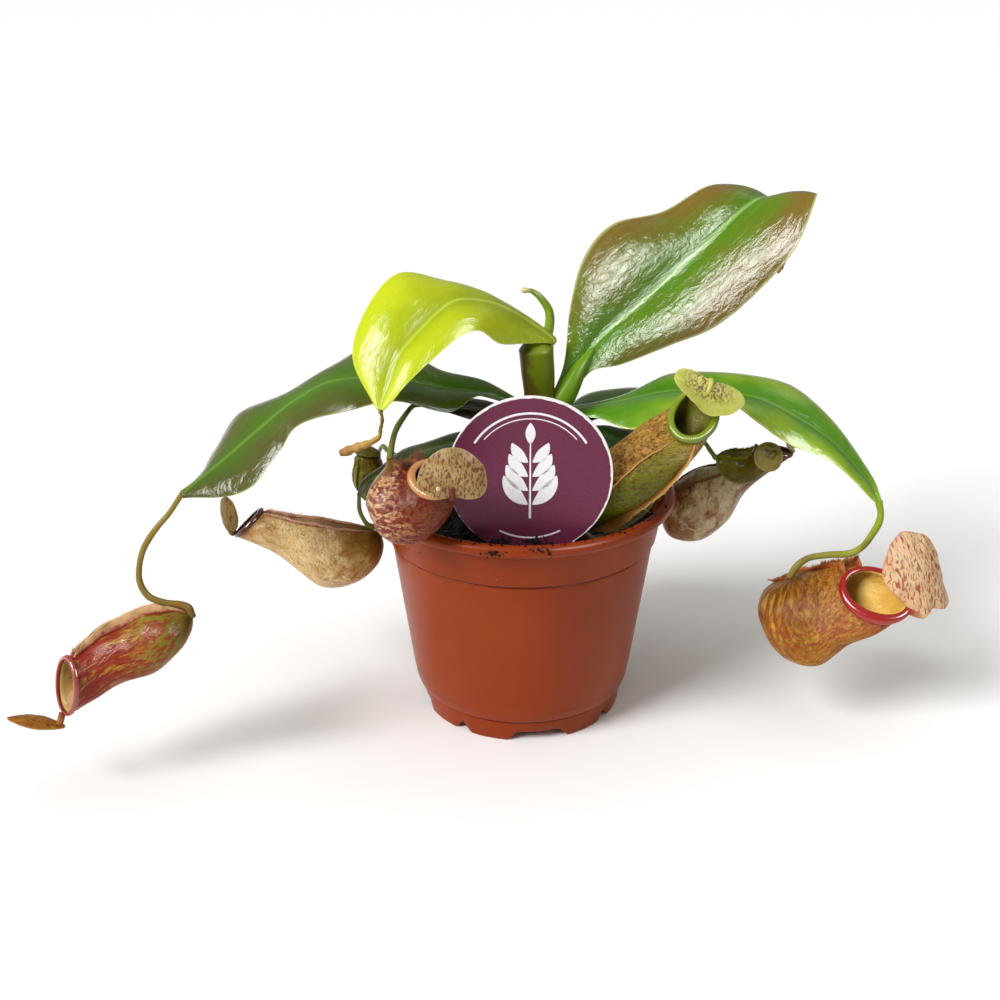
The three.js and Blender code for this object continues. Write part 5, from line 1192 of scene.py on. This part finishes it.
def cup_loops(parts, wings, open_mouth, lumps, rows=115, sides=104):
    """The wall as rings: from the tendril to the mouth, over the edge and back down inside, CUP_WALL thick.

    The radius swells by six slow waves, and the mouth's back edge is lifted by rise max(0, -cos)^2. A closed
    cup has no inside.
    """
    u = np.linspace(0, 1, rows) ** 0.9
    inner = np.linspace(1, CUP_INSIDE_TO, CUP_INSIDE_RINGS) if open_mouth else np.zeros(0)
    u_all = np.concatenate([u, inner])
    inside = np.concatenate([np.zeros(rows), np.ones(len(inner))])
    centre, deep, side, out = ring_frame(parts, u_all)
    angle = np.linspace(0, 2 * np.pi, sides, endpoint=False)[None]
    phase = np.random.default_rng(lumps).uniform(0, 2 * np.pi, 6)
    swell = sum(0.012 * np.sin((k + 1) * angle + 9 * u_all[:, None] * (1 + 0.3 * k) + phase[k])
                for k in range(6))
    swell *= smoothstep(0, 0.2, u_all)[:, None] * smoothstep(0, 0.15, 1 - u_all)[:, None]
    radius = np.minimum(np.linalg.norm(deep, axis=-1), np.linalg.norm(side, axis=-1))
    thick = CUP_WALL * inside / np.maximum(radius, CUP_WALL * 1.5)
    scale = 1 + swell - thick[:, None]
    loops = on_ring(centre[:, None], deep[:, None], side[:, None], np.broadcast_to(angle, swell.shape), scale)
    lift = parts["rise"] * np.clip(-np.cos(angle), 0, 1) ** 2 * smoothstep(0.8, 1, u_all)[:, None]
    loops = loops + out[:, None] * (lift[..., None] + 0.3 * (u_all == 1)[:, None, None])
    length = np.cumsum(np.linalg.norm(np.gradient(centre, axis=0), axis=-1))[:, None]
    mean = radius.mean()
    skin = np.stack(np.broadcast_arrays(length, mean * np.cos(angle), mean * np.sin(angle)), -1)
    near, far = (wing_course(wings[side_name], u_all)[0][:, None] for side_name in ("near", "far"))
    signed = (angle - (near + far) / 2 + np.pi) % (2 * np.pi) - np.pi
    panel = 1 - smoothstep(-0.12, 0.05, np.abs(signed) - np.abs(far - near) / 2)
    place = np.stack(np.broadcast_arrays(u_all[:, None], panel, inside[:, None]), -1)
    return loops, {"skin": skin, "cup": place}


def pitcher_wall(name, looks):
    """A pitcher's wall: satin leaf tissue, its colour changing along it under layers of soft-edged marks.

    The panel between the wings has its own colour, under the last layer of marks. Fine wrinkles cross, and a
    grain of glands lies over them.
    """
    material, tree, shader = new_material(name, Roughness=0.34, IOR=1.45, Specular_IOR_Level=0.1,
                                          Coat_Weight=0.2, Coat_Roughness=0.14)
    marks = add_node(tree, "Attribute", attribute_name="cup").outputs["Vector"]
    cup = add_node(tree, "SeparateXYZ", {0: marks})
    skin = add_node(tree, "Attribute", attribute_name="skin").outputs["Vector"]
    colours = looks["wall"]
    cloud = add_node(tree, "TexNoise", {"Vector": skin, "Scale": 0.14, "Detail": 4})
    drift = add_node(tree, "MapRange", {"Value": cloud, 1: 0.3, 2: 0.7, 3: -0.12, 4: 0.12})
    along = add_node(tree, "Math", {0: cup.outputs[0], 1: drift}, operation="ADD")
    stops = [(0.04 + 0.93 * k / (len(colours) - 1), colour) for k, colour in enumerate(colours)]
    wall = add_node(tree, "ValToRGB", {"Fac": along}, stops)
    panel_colours, panel_shows = looks["panel"]
    stops = [(0.1 + 0.8 * k / (len(panel_colours) - 1), colour) for k, colour in enumerate(panel_colours)]
    front = add_node(tree, "ValToRGB", {"Fac": along}, stops)
    covers = add_node(tree, "Math", {0: cup.outputs[1], 1: panel_shows}, operation="MULTIPLY")
    ruler = skin
    if "upright" in looks:
        place = add_node(tree, "TexCoord").outputs["Object"]
        ruler = add_node(tree, "Mapping", {"Vector": place, "Scale": [1 / METRES] * 3})
    for layer in looks["layers"]:
        if layer is looks["layers"][-1]:
            wall = add_node(tree, "MixRGB", {"Fac": covers, "Color1": wall, "Color2": front})
        colour, share, long, wide, start, end, soft = layer
        sizes = (1 / wide, 1 / wide, 1 / long) if "upright" in looks else (1 / long, 1 / wide, 1 / wide)
        drawn = add_node(tree, "Mapping",
                         {"Vector": ruler, "Location": (7 * start, long, wide), "Scale": sizes})
        spots = add_node(tree, "TexNoise", {"Vector": drawn, "Scale": 1, "Detail": 3, "Roughness": 0.55,
                                            "Distortion": 0.5})
        level = 0.66 - 0.3 * share
        mask = add_node(tree, "MapRange", {"Value": spots, 1: level - soft, 2: level + soft, 4: 0.85})
        after = add_node(tree, "MapRange", {"Value": along, 1: start - 0.06, 2: start + 0.06})
        before = add_node(tree, "MapRange", {"Value": along, 1: end + 0.08, 2: end - 0.04})
        there = add_node(tree, "Math", {0: after, 1: before}, operation="MULTIPLY")
        shown = add_node(tree, "Math", {0: mask, 1: there}, operation="MULTIPLY")
        wall = add_node(tree, "MixRGB", {"Fac": shown, "Color1": wall, "Color2": colour})
    grain = add_node(tree, "TexNoise", {"Vector": skin, "Scale": 1.5, "Detail": 5, "Roughness": 0.7})
    shade = add_node(tree, "MapRange", {"Value": grain, 1: 0.3, 2: 0.7, 3: 0.72, 4: 1.18})
    wall = add_node(tree, "MixRGB", {"Fac": 1, "Color1": wall, "Color2": shade}, blend_type="MULTIPLY")
    mottle = add_node(tree, "ValToRGB", {"Fac": cloud}, list(zip((0.4, 0.62), looks["inside"])))
    whole = add_node(tree, "MixRGB", {"Fac": cup.outputs[2], "Color1": wall, "Color2": mottle})
    strength, long, wide = looks["wrinkles"]
    lines = add_node(tree, "Mapping", {"Vector": skin, "Scale": (1 / long, 1 / wide, 1 / wide)})
    folds = add_node(tree, "TexNoise", {"Vector": lines, "Scale": 1, "Detail": 5, "Distortion": 0.9})
    deep = add_node(tree, "Bump", {"Height": folds, "Strength": strength, "Distance": 0.0008})
    fine = add_node(tree, "Bump", {"Height": grain, "Strength": 0.3, "Distance": 0.0004, "Normal": deep})
    feed(shader, {"Base Color": whole, "Normal": fine, "Coat Normal": deep})
    return material


def wing_loops(parts, course, ragged, waving, torn, rows=200):
    """One wing as rings round its thickness: it stands outwards from the wall along its course.

    Its height is the course's, times 1 + ragged times five sines, and its edge leans from side to side by
    waving times two sines. torn seeds their phases. The hairs use u, the edge's line and the way out.
    """
    u = np.linspace(course[0][0] - 0.02, 0.98, rows)
    centre, deep, side = ring_frame(parts, u)[:3]
    angle, height = wing_course(course, u)
    root = on_ring(centre, deep, side, angle)
    away = unit(root - centre)
    forward = unit(np.gradient(root, axis=0))
    flat = unit(np.cross(forward, away))
    shares = np.array(WING_SHARES)
    phase = np.random.default_rng(torn).uniform(0, 2 * np.pi, 8)
    rough = sum(np.sin(2 * np.pi * f * u + p) * a
                for f, p, a in zip((9, 17, 31, 53, 71), phase, (0.3, 0.25, 0.2, 0.15, 0.1)))
    fade = np.sqrt(np.clip(np.minimum(u - u[0], u[-1] - u) / 0.02, 0, 1))
    height = (height * (1 + ragged * rough) + 0.05) * fade + 0.03
    bend = waving * (np.sin(2 * np.pi * 4 * u + phase[6]) + 0.6 * np.sin(2 * np.pi * 9 * u + phase[7]))
    lean = (bend * np.minimum(height, 2) / 2)[:, None] * np.clip(shares, 0, 1)[None] ** 2
    sunk_in = np.where(shares < 0, -WING_SINK, 0)
    reach = height[:, None] * np.clip(shares, 0, 1)[None] + sunk_in
    middle = root[:, None] + away[:, None] * reach[..., None] + flat[:, None] * lean[..., None]
    thick = (0.3 - 0.17 * np.clip(shares, 0, 1))[None, :, None] * flat[:, None]
    loops = np.concatenate([middle + thick, (middle - thick)[:, ::-1]], axis=1)
    both = np.concatenate([shares, shares[::-1]])
    marks = np.stack(np.broadcast_arrays(u[:, None], both[None], 0.0), -1)
    return loops, {"wing": marks}, (u, middle[:, -1], away)


def wing_skin(name, colours):
    """The wings' thin dry-edged tissue: satin at the root and paler, a little fuzzy, towards the edge."""
    material, tree, shader = new_material(name, Roughness=0.5, IOR=1.45, Specular_IOR_Level=0.1)
    marks = add_node(tree, "Attribute", attribute_name="wing").outputs["Vector"]
    wing = add_node(tree, "SeparateXYZ", {0: marks})
    place = add_node(tree, "TexCoord").outputs["Object"]
    cloud = add_node(tree, "TexNoise", {"Vector": place, "Scale": 700, "Detail": 4, "Roughness": 0.65})
    drift = add_node(tree, "MapRange", {"Value": cloud, 1: 0.3, 2: 0.7, 3: -0.25, 4: 0.25})
    share = add_node(tree, "Math", {0: wing.outputs[1], 1: drift}, operation="ADD")
    colour = add_node(tree, "ValToRGB", {"Fac": share}, list(zip((0.1, 0.45, 0.95), colours)))
    bump = add_node(tree, "Bump", {"Height": cloud, "Strength": 0.4, "Distance": 0.0003})
    feed(shader, {"Base Color": colour, "Normal": bump})
    return material


draw = np.random.default_rng(23)
for n, (name, parts) in enumerate(PITCHERS.items()):
    looks, wings = PITCHER_LOOKS[name], WINGS[name]
    slot = CUP_SLOTS[name]
    loops, marks = cup_loops(parts, wings, name not in YOUNG, n)
    settle(lofted(f"cup_{name}", loops, marks), pitcher_wall(name + "_wall", looks), slot, f"pitcher_{name}")
    tissue = wing_skin(name + "_wing_skin", looks["wing"])
    hair = new_material(name + "_hair", Base_Color=paint(looks["wing"][2]), Roughness=0.6)[0]
    count, start, end, long = wings["hairs"]
    for k, label in enumerate(("near", "far")):
        course, torn = wings[label], 10 * n + k
        loops, marks, (u, edge, away) = wing_loops(parts, course, wings["ragged"], wings["waving"], torn)
        settle(lofted(f"wing_{name}_{label}", loops, marks), tissue, slot)
        spread = start + (end - start) * (np.arange(count) + draw.uniform(0.1, 0.9, count)) / count
        pick = np.clip(np.searchsorted(u, spread), 3, len(edge) - 4)
        length = draw.uniform(0.6, 1, (count, 1)) * long
        ways = (away[pick] + 0.35 * draw.normal(size=(count, 3))) * length
        bends = draw.normal(0, 0.12, (count, 3)) * length
        roots, radii = edge[pick] - HAIR_SINK * away[pick], np.full(count, HAIR_RADIUS)
        settle(bent_hairs(f"hairs_{name}_{label}", roots, ways, bends, radii), hair, slot)


# Lips: the mouth's hard, glossy rolled collar, ribbed all the way round, its ribs about 0.6 mm apart.
# It grows out of the wall's edge, and narrows and rises at the back towards the lid's hinge.

LIP_GAP = 0.35
RIB_SPACING = 0.62
# For each lip: the slot, half its width and half its height in mm, the ribs' height as a share, how much more
# there is of it on one side and that side's angle, and the colours of furrow, rib, outer edge and the part at
# the hinge.
LIP_LOOKS = {
    "far_left": ("lip_red", 0.6, 0.6, 0.02, 0, 0, "#983c2c", "#ac4c3c", "#90342a", "#983c30"),
    "mid_left": ("lip_dark", 0.55, 0.5, 0.02, 0, 0, "#4a1c14", "#54241a", "#3c1610", "#54281c"),
    "front_left": ("lip_striped", 1.1, 0.8, 0.09, 0, 0, "#b0603c", "#d0a45c", "#b87a48", "#c8a850"),
    "right_front": ("lip_green", 1.05, 0.8, 0.07, 0, 0, "#667c08", "#8ea022", "#54680e", "#8a9a28"),
    "right_back": ("lip_dark", 0.7, 0.65, 0.03, 0, 0, "#5a2014", "#74341f", "#4a1c12", "#5c3018"),
    "far_right": ("lip_red", 1.15, 0.8, 0.02, 0.3, -2.1, "#8c0f10", "#a01816", "#9a1614", "#8c1a14"),
}


def lip_loops(parts, half_width, half_height, relief, more, side_angle, ribs, rings=520, section=16):
    """A ring round the mouth: an ellipse's section, half_width by half_height, carried along its edge and
    rolled down outside. Its size is 1 - 0.3 back^2 + more cos(angle - side_angle), back being
    max(0, -cos(angle))^2, and cos(ribs angle) stands out by relief."""
    centre, deep, side, out = (v[0] for v in ring_frame(parts, np.array([1.0])))
    angle = np.linspace(0, 2 * np.pi, rings, endpoint=False)
    edge = on_ring(centre, deep, side, angle)
    outward = unit(edge - centre)
    back = np.clip(-np.cos(angle), 0, 1) ** 2
    lift = LIP_GAP + 0.6 * half_height + parts["rise"] * back
    turn = np.linspace(0, 2 * np.pi, section, endpoint=False)[None]
    rib = 0.5 + 0.5 * np.cos(ribs * angle)[:, None]
    size = 1 - 0.3 * back[:, None] ** 2 + more * np.cos(angle - side_angle)[:, None]
    size = size + relief * rib * (np.cos(turn) > -0.6)
    across = half_width * size * np.cos(turn)
    up = half_height * size * np.sin(turn) - 0.35 * (across / half_width) ** 2 * np.sign(across)
    loops = (edge[:, None] + outward[:, None] * across[..., None] + out * (lift[:, None] + up)[..., None])
    marks = np.stack(np.broadcast_arrays(rib, np.cos(turn), back[:, None]), -1)
    return loops, {"lip": marks}


def polished_lip(name, furrow, crest, outer, hinge_side):
    """A pitcher's lip: hard, wet-looking skin, paler on its ribs, darker in furrows and at the outer edge."""
    material, tree, shader = new_material(name, Roughness=0.2, IOR=1.5, Coat_Weight=0.5, Coat_Roughness=0.06)
    marks = add_node(tree, "Attribute", attribute_name="lip").outputs["Vector"]
    lip = add_node(tree, "SeparateXYZ", {0: marks})
    ribbed = add_node(tree, "MixRGB", {"Fac": lip.outputs[0], "Color1": furrow, "Color2": crest})
    backwards = add_node(tree, "MapRange", {"Value": lip.outputs[2], 1: 0.1, 2: 0.7, 4: 0.8})
    varied = add_node(tree, "MixRGB", {"Fac": backwards, "Color1": ribbed, "Color2": hinge_side})
    outside = add_node(tree, "MapRange", {"Value": lip.outputs[1], 1: 0.55, 2: 0.9, 4: 0.8})
    colour = add_node(tree, "MixRGB", {"Fac": outside, "Color1": varied, "Color2": outer})
    feed(shader, {"Base Color": colour})
    return material


for name, (slot, half_width, half_height, relief, more, side_angle, *colours) in LIP_LOOKS.items():
    parts = PITCHERS[name]
    deep, side = (np.linalg.norm(v) for v in ring_frame(parts, np.array([1.0]))[1:3])
    ribs = int(2 * np.pi * (deep + side) / 2 / RIB_SPACING)
    loops, marks = lip_loops(parts, half_width, half_height, relief, more, side_angle, ribs)
    mesh = lofted(f"lip_{name}_ribbed", loops, marks, joined=True)
    settle(mesh, polished_lip(name + "_lip", *colours), slot, f"lip_{name}")


# Lids: a thin domed leaf with a wavy outline, held up behind each mouth by a short neck, cream or green with
# flecks. On the two young pitchers the lid is still shut over the mouth.

LID_THICKNESS = 0.6
LID_RIBS = 22
OUTLINE_REACHES = 16
NECK_RADII = [0.95, 0.85, 0.6]
NECK_ABOVE_LIP = 0.8
NECK_UNDER_LID = 0.55
NECTAR_BEAD = [-22.6, -48.9, 88.1]
# "frame" is the lid's middle, its half length from neck to tip and its half width, in mm. Then come the
# dome's rise, 16 reaches round the outline from the tip towards the width's side, how far the sides fold down
# and the edge's ruffle. The looks are two cloudy colours, the flecks' colour, share and size across and along
# in mm, the edge's and the underside's colours, and how far ribs stand out. Some lids also have the place of
# the "hinge" along the lid, the "neck"'s colours, and in "round" the one place (x, y, reach) that the flecks
# keep to, all in shares.
LIDS = {
    "far_left": {
        "frame": ([-131.9, -56.8, 23.2], [-7.8, 0, 1.4], [-0.6, 4.8, -0.6]), "rise": 1,
        "outline": [1, 0.9, 0.84, 0.84, 0.86, 0.84, 0.84, 0.9,
                    0.98, 0.9, 0.84, 0.84, 0.86, 0.84, 0.84, 0.9],
        "droop": 0, "ruffle": 0.03, "clouds": ["#8a5418", "#a3702a"], "fleck": ("#6c3010", 0.4, 0.6, 1.4),
        "edge": "#b0803a", "below": "#8a5a20", "ribs": 0.02,
        "hinge": 0.72, "neck": ["#8a3428", "#8a3e28", "#8c4a24"]},
    "mid_left": {
        "frame": ([-87.8, 0.2, 59.4], [-0.6, 0.4, 6.2], [3.3, -4.1, 1.6]), "rise": 1,
        "outline": [0.95, 0.93, 0.95, 1, 1, 1, 0.95, 0.9,
                    0.88, 0.9, 0.95, 1, 1, 1, 0.95, 0.93],
        "droop": 0.1, "ruffle": 0.1, "clouds": ["#6a5424", "#7c6430"], "fleck": ("#4a2c14", 0.4, 1, 1.6),
        "edge": "#54341c", "below": "#7a6434", "ribs": 0.05},
    "front_left": {
        "frame": ([-18.8, -47.2, 91], [0.4, 0.6, 7.8], [9.2, -0.4, 0.2]), "rise": 1.8,
        "outline": [0.99, 0.92, 0.89, 0.9, 0.94, 1.02, 1.07, 0.84,
                    0.76, 0.86, 1.05, 1.03, 1, 0.94, 0.95, 0.97],
        "droop": 0.15, "ruffle": 0.2, "clouds": ["#aa9464", "#8c7040"], "fleck": ("#641c1c", 0.5, 0.6, 1.3),
        "edge": "#b09468", "below": "#a08048", "ribs": 0.03, "neck": ["#54200f", "#5c2814", "#6a3418"]},
    "right_front": {
        "frame": ([50.2, -19.6, 103.6], [-1.5, -6, -4.4], [9.6, 0, -3.4]), "rise": 1.2,
        "outline": [0.8, 0.8, 0.79, 0.86, 0.97, 1.13, 1.02, 0.78,
                    0.65, 0.85, 1.17, 1.07, 0.84, 0.69, 0.64, 0.7],
        "droop": -0.3, "ruffle": 0.15, "clouds": ["#bcbc54", "#ccc76c"], "fleck": ("#5c1c20", 0.62, 0.7, 0.9),
        "edge": "#ccc86c", "below": "#b4b850", "ribs": 0.03, "round": (0, -0.5, 0.9)},
    "right_back": {
        "frame": ([84, 25.4, 74.6], [-0.4, 0.6, 4], [2.4, 3.2, -0.6]), "rise": 0.8,
        "outline": [1, 0.97, 0.95, 0.97, 1, 1, 0.98, 0.92,
                    0.88, 0.92, 0.98, 1, 1, 0.97, 0.95, 0.97],
        "droop": 0, "ruffle": 0.1, "clouds": ["#bca878", "#a8925c"], "fleck": ("#74442c", 0.3, 0.5, 2),
        "edge": "#a08858", "below": "#b8a470", "ribs": 0.14},
    "far_right": {
        "frame": ([112.2, -23.6, 52], [-1.8, 4.8, 11], [9.8, 2.4, -3.4]), "rise": 2,
        "outline": [0.98, 1.04, 1.01, 0.85, 0.88, 1.08, 1.05, 0.87,
                    1.01, 1.07, 1.03, 1.16, 1.05, 0.94, 0.91, 0.96],
        "droop": 0.3, "ruffle": 0.4, "clouds": ["#d4a67e", "#dcc294"], "fleck": ("#8a2426", 0.46, 0.7, 2),
        "edge": "#d08870", "below": "#d0ac7c", "ribs": 0.05},
    "small_left": {
        "frame": ([-48.2, 26.2, 69.4], [-3.8, -1.6, 0.6], [-1.6, 3.6, 0]), "rise": 1.8,
        "outline": [1] * OUTLINE_REACHES, "droop": 0, "ruffle": 0.05,
        "clouds": ["#544c10", "#605418"], "fleck": ("#3a200c", 0.3, 1, 1),
        "edge": "#6c6830", "below": "#545010", "ribs": 0},
    "small_right": {
        "frame": ([71.2, -3.8, 79.6], [-2.4, 0.6, 3.8], [3.8, 2, 1.6]), "rise": 1.2,
        "outline": [1] * OUTLINE_REACHES, "droop": 0, "ruffle": 0.05,
        "clouds": ["#867434", "#988844"], "fleck": ("#3c1408", 0.8, 1.4, 1.4),
        "edge": "#b4a070", "below": "#a09050", "ribs": 0, "round": (0.2, 0.25, 0.6)},
}


def lid_loops(parts, seed, sides=120, steps=24):
    """A lid as rings, from the middle of its upper face out over the edge and back to the middle of its lower
    face.

    The outline is the smooth wave through the even reaches: the sum of their cosine and sine parts. height =
    rise (1 - r^2) - 3 droop x^2 + ruffle r^3 waves + ribs r sin(LID_RIBS angle), with small dimples.
    """
    middle, length, side = (np.array(v, float) for v in parts["frame"])
    up = unit(np.cross(side, length))
    angle = np.linspace(0, 2 * np.pi, sides, endpoint=False)[None]
    waves_in = np.fft.rfft(parts["outline"]) / OUTLINE_REACHES
    outline = waves_in[0].real + sum(2 * (waves_in[k] * np.exp(1j * k * angle)).real
                                     for k in range(1, OUTLINE_REACHES // 2))
    r = np.sin(np.linspace(0.02, 1, steps) * np.pi / 2)
    r = np.concatenate([r, r[::-1]])[:, None]
    face = np.repeat([1, -1], steps)[:, None]
    phase = np.random.default_rng(seed).uniform(0, 2 * np.pi, 3)
    waves = sum(np.sin(k * angle + p) * a for k, p, a in zip((3, 7, 12), phase, (1, 0.6, 0.35)))
    reach = r * (outline + 0.008 * waves * r ** 2)
    x, y = reach * np.sin(angle), reach * np.cos(angle)
    height = parts["rise"] * (1 - r ** 2) - 3 * parts["droop"] * x ** 2 + parts["ruffle"] * r ** 3 * waves
    dimples = 0.06 * np.sin(11 * x + 2 * y) * np.sin(9 * y - 3 * x)
    height = height + dimples + parts["ribs"] * r * np.sin(LID_RIBS * angle)
    height = height + face * LID_THICKNESS / 2 * (1 - 0.7 * r ** 6)
    loops = middle + side * x[..., None] + length * y[..., None] + up * height[..., None]
    place = np.stack(np.broadcast_arrays(x, y, face * 1.0), -1)
    inked = np.stack(np.broadcast_arrays(x * np.linalg.norm(side), y * np.linalg.norm(length), r), -1)
    return loops, {"lid": place, "lid_mm": inked}


def lid_skin(name, parts):
    """A lid's leaf tissue: satin and cloudy, with maroon flecks of uneven sizes and a paler edge."""
    material, tree, shader = new_material(name, Roughness=0.4, IOR=1.45, Specular_IOR_Level=0.15)
    lid = add_node(tree, "Attribute", attribute_name="lid").outputs["Vector"]
    inked = add_node(tree, "Attribute", attribute_name="lid_mm").outputs["Vector"]
    split, split_mm = (add_node(tree, "SeparateXYZ", {0: v}) for v in (lid, inked))
    place = add_node(tree, "TexCoord").outputs["Object"]
    cloud = add_node(tree, "TexNoise", {"Vector": place, "Scale": 300, "Detail": 4, "Roughness": 0.6})
    stops = list(zip((0.35, 0.65), parts["clouds"]))
    ground = add_node(tree, "ValToRGB", {"Fac": cloud}, stops)
    colour, share, across, along = parts["fleck"]
    flat = add_node(tree, "Mapping", {"Vector": inked, "Scale": (1 / across, 1 / along, 0)})
    spots = add_node(tree, "TexNoise", {"Vector": flat, "Scale": 1, "Detail": 4, "Distortion": 0.6})
    level = 0.68 - 0.28 * share
    shown = add_node(tree, "MapRange", {"Value": spots, 1: level - 0.04, 2: level + 0.04, 4: 0.8})
    if "round" in parts:
        x, y, reach = parts["round"]
        flat_place = add_node(tree, "VectorMath", {0: lid, 1: (1, 1, 0)}, operation="MULTIPLY")
        off = add_node(tree, "VectorMath", {0: flat_place, 1: (x, y, 0)}, operation="DISTANCE")
        near = add_node(tree, "MapRange", {"Value": off.outputs["Value"], 1: reach, 2: reach * 0.5})
        shown = add_node(tree, "Math", {0: shown, 1: near}, operation="MULTIPLY")
    turned = add_node(tree, "MapRange", {"Value": split.outputs[2], 1: 0.2, 2: -0.2, 4: 0.6})
    ground = add_node(tree, "MixRGB", {"Fac": turned, "Color1": ground, "Color2": parts["below"]})
    whole = add_node(tree, "MixRGB", {"Fac": shown, "Color1": ground, "Color2": colour})
    far = add_node(tree, "MapRange", {"Value": split_mm.outputs[2], 1: 0.95, 2: 0.99, 4: 0.7})
    rimmed = add_node(tree, "MixRGB", {"Fac": far, "Color1": whole, "Color2": parts["edge"]})
    bump = add_node(tree, "Bump", {"Height": cloud, "Strength": 0.4, "Distance": 0.0005})
    feed(shader, {"Base Color": rimmed, "Normal": bump})
    return material


for n, (name, parts) in enumerate(LIDS.items()):
    loops, marks = lid_loops(parts, n)
    slot = "cup_young" if name in YOUNG else "lid"
    settle(lofted(f"lid_{name}_leaf", loops, marks), lid_skin(name + "_lid", parts), slot, f"lid_{name}")
    if name in YOUNG:
        continue
    middle, length, side = (np.array(v, float) for v in parts["frame"])
    up = unit(np.cross(side, length))
    ring = [v[0] for v in ring_frame(PITCHERS[name], np.array([1.0]))]
    lifted = LIP_GAP + NECK_ABOVE_LIP + PITCHERS[name]["rise"]
    behind_lip = on_ring(*ring[:3], np.array(np.pi)) + ring[3] * lifted
    at_hinge = parts.get("hinge", parts["outline"][OUTLINE_REACHES // 2])
    hinge = middle - length * at_hinge
    share = at_hinge - (1 - NECK_UNDER_LID)
    under = middle - share * length + up * parts["rise"] * (1 - share ** 2)
    loops, marks = shoot_loops([behind_lip, hinge, under], NECK_RADII, rows=40, sides=24)
    outer_edge = LIP_LOOKS[name][8]
    colours = parts.get("neck", [outer_edge, parts["below"], parts["clouds"][0]])
    stops = list(zip((0, 0.45, 1), colours))
    settle(lofted(f"neck_{name}", loops, marks), living_shoot(name + "_neck", stops, parts["edge"]), slot)
settle(bead("nectar_bead", np.array(NECTAR_BEAD), [0.62, 0.45, 0.62]), dried_sap, "lid")


# Floor, light and camera: a plain pale floor under soft studio light, seen from the photograph's place. The
# camera and the lamps stand at places in mm, and the floor's size and the lamps' sizes are in metres.

FLOOR_SIZE = 14
SKY_STRENGTH = 0.3
CAMERA_PLACE = [-6.7, -369.4, 220.4]
CAMERA_AIM = [-6.7, 0, 64.4]
LENS = 48.6
SENSOR_WIDTH = 36
CLIP_NEAR, CLIP_FAR = 0.01, 50
# The two broad lamps light the surfaces, and the lamps after them show only in the gloss: three window panes,
# side by side, that leave thin bright lines on the young leaf, and softboxes for the upper leaf and the lips.
BROAD_LAMPS = {"window": ((-750, -550, 800), 2.95, 26), "ceiling": ((0, 0, 900), 0.7, 60)}
GLOSS_LAMPS = {
    "pane_1": ((-718, -237, 660), (0.05, 0.45), 4),
    "pane_2": ((-650, -360, 660), (0.05, 0.45), 4),
    "pane_3": ((-582, -483, 660), (0.05, 0.45), 4),
    "right_softbox": ((500, -500, 700), (0.42, 0.42), 11),
    "back_softbox": ((520, 380, 780), (0.3, 0.3), 0.25),
    "front_point": ((-220, -420, 560), (0.05, 0.05), 0.1),
}
LAMPS_AIM = (0, 0, 70)

side = FLOOR_SIZE / 2
floor = bpy.data.meshes.new("floor")
corners = [(-side, -side, 0), (side, -side, 0), (side, side, 0), (-side, side, 0)]
floor.from_pydata(corners, [], [(0, 1, 2, 3)])
floor.materials.append(new_material("pale_floor", Base_Color=paint("#fcfcfc"), Roughness=0.9)[0])
floor_piece = bpy.data.objects.new("floor", floor)
bpy.context.scene.collection.objects.link(floor_piece)

world = bpy.data.worlds.new("studio")
world.use_nodes = True
feed(world.node_tree.nodes["Background"], {"Color": "#fbf8f2", "Strength": SKY_STRENGTH})
bpy.context.scene.world = world


def aimed(name, data, place, aim):
    """A camera or light at a place, its -Z axis turned to what it aims at, both in mm from the pot's axis."""
    thing = bpy.data.objects.new(name, data)
    bpy.context.scene.collection.objects.link(thing)
    here, there = (np.asarray(v) * METRES + POT_AXIS for v in (place, aim))
    thing.location = here
    thing.rotation_euler = Vector(there - here).to_track_quat("-Z", "Y").to_euler()
    return thing


for name, (place, strength, wide) in BROAD_LAMPS.items():
    sun = bpy.data.lights.new(name, "SUN")
    sun.energy = strength
    sun.angle = np.radians(wide)
    aimed(name, sun, place, LAMPS_AIM).visible_glossy = False
for name, (place, size, power) in GLOSS_LAMPS.items():
    lamp = bpy.data.lights.new(name, "AREA")
    lamp.shape = "RECTANGLE"
    lamp.size, lamp.size_y = size
    lamp.energy = power
    aimed(name, lamp, place, LAMPS_AIM).visible_diffuse = False

eye = bpy.data.cameras.new("eye")
eye.lens = LENS
eye.sensor_width = SENSOR_WIDTH
eye.clip_start, eye.clip_end = CLIP_NEAR, CLIP_FAR
bpy.context.scene.camera = aimed("eye", eye, CAMERA_PLACE, CAMERA_AIM)
bpy.context.scene.view_settings.view_transform = "Standard"
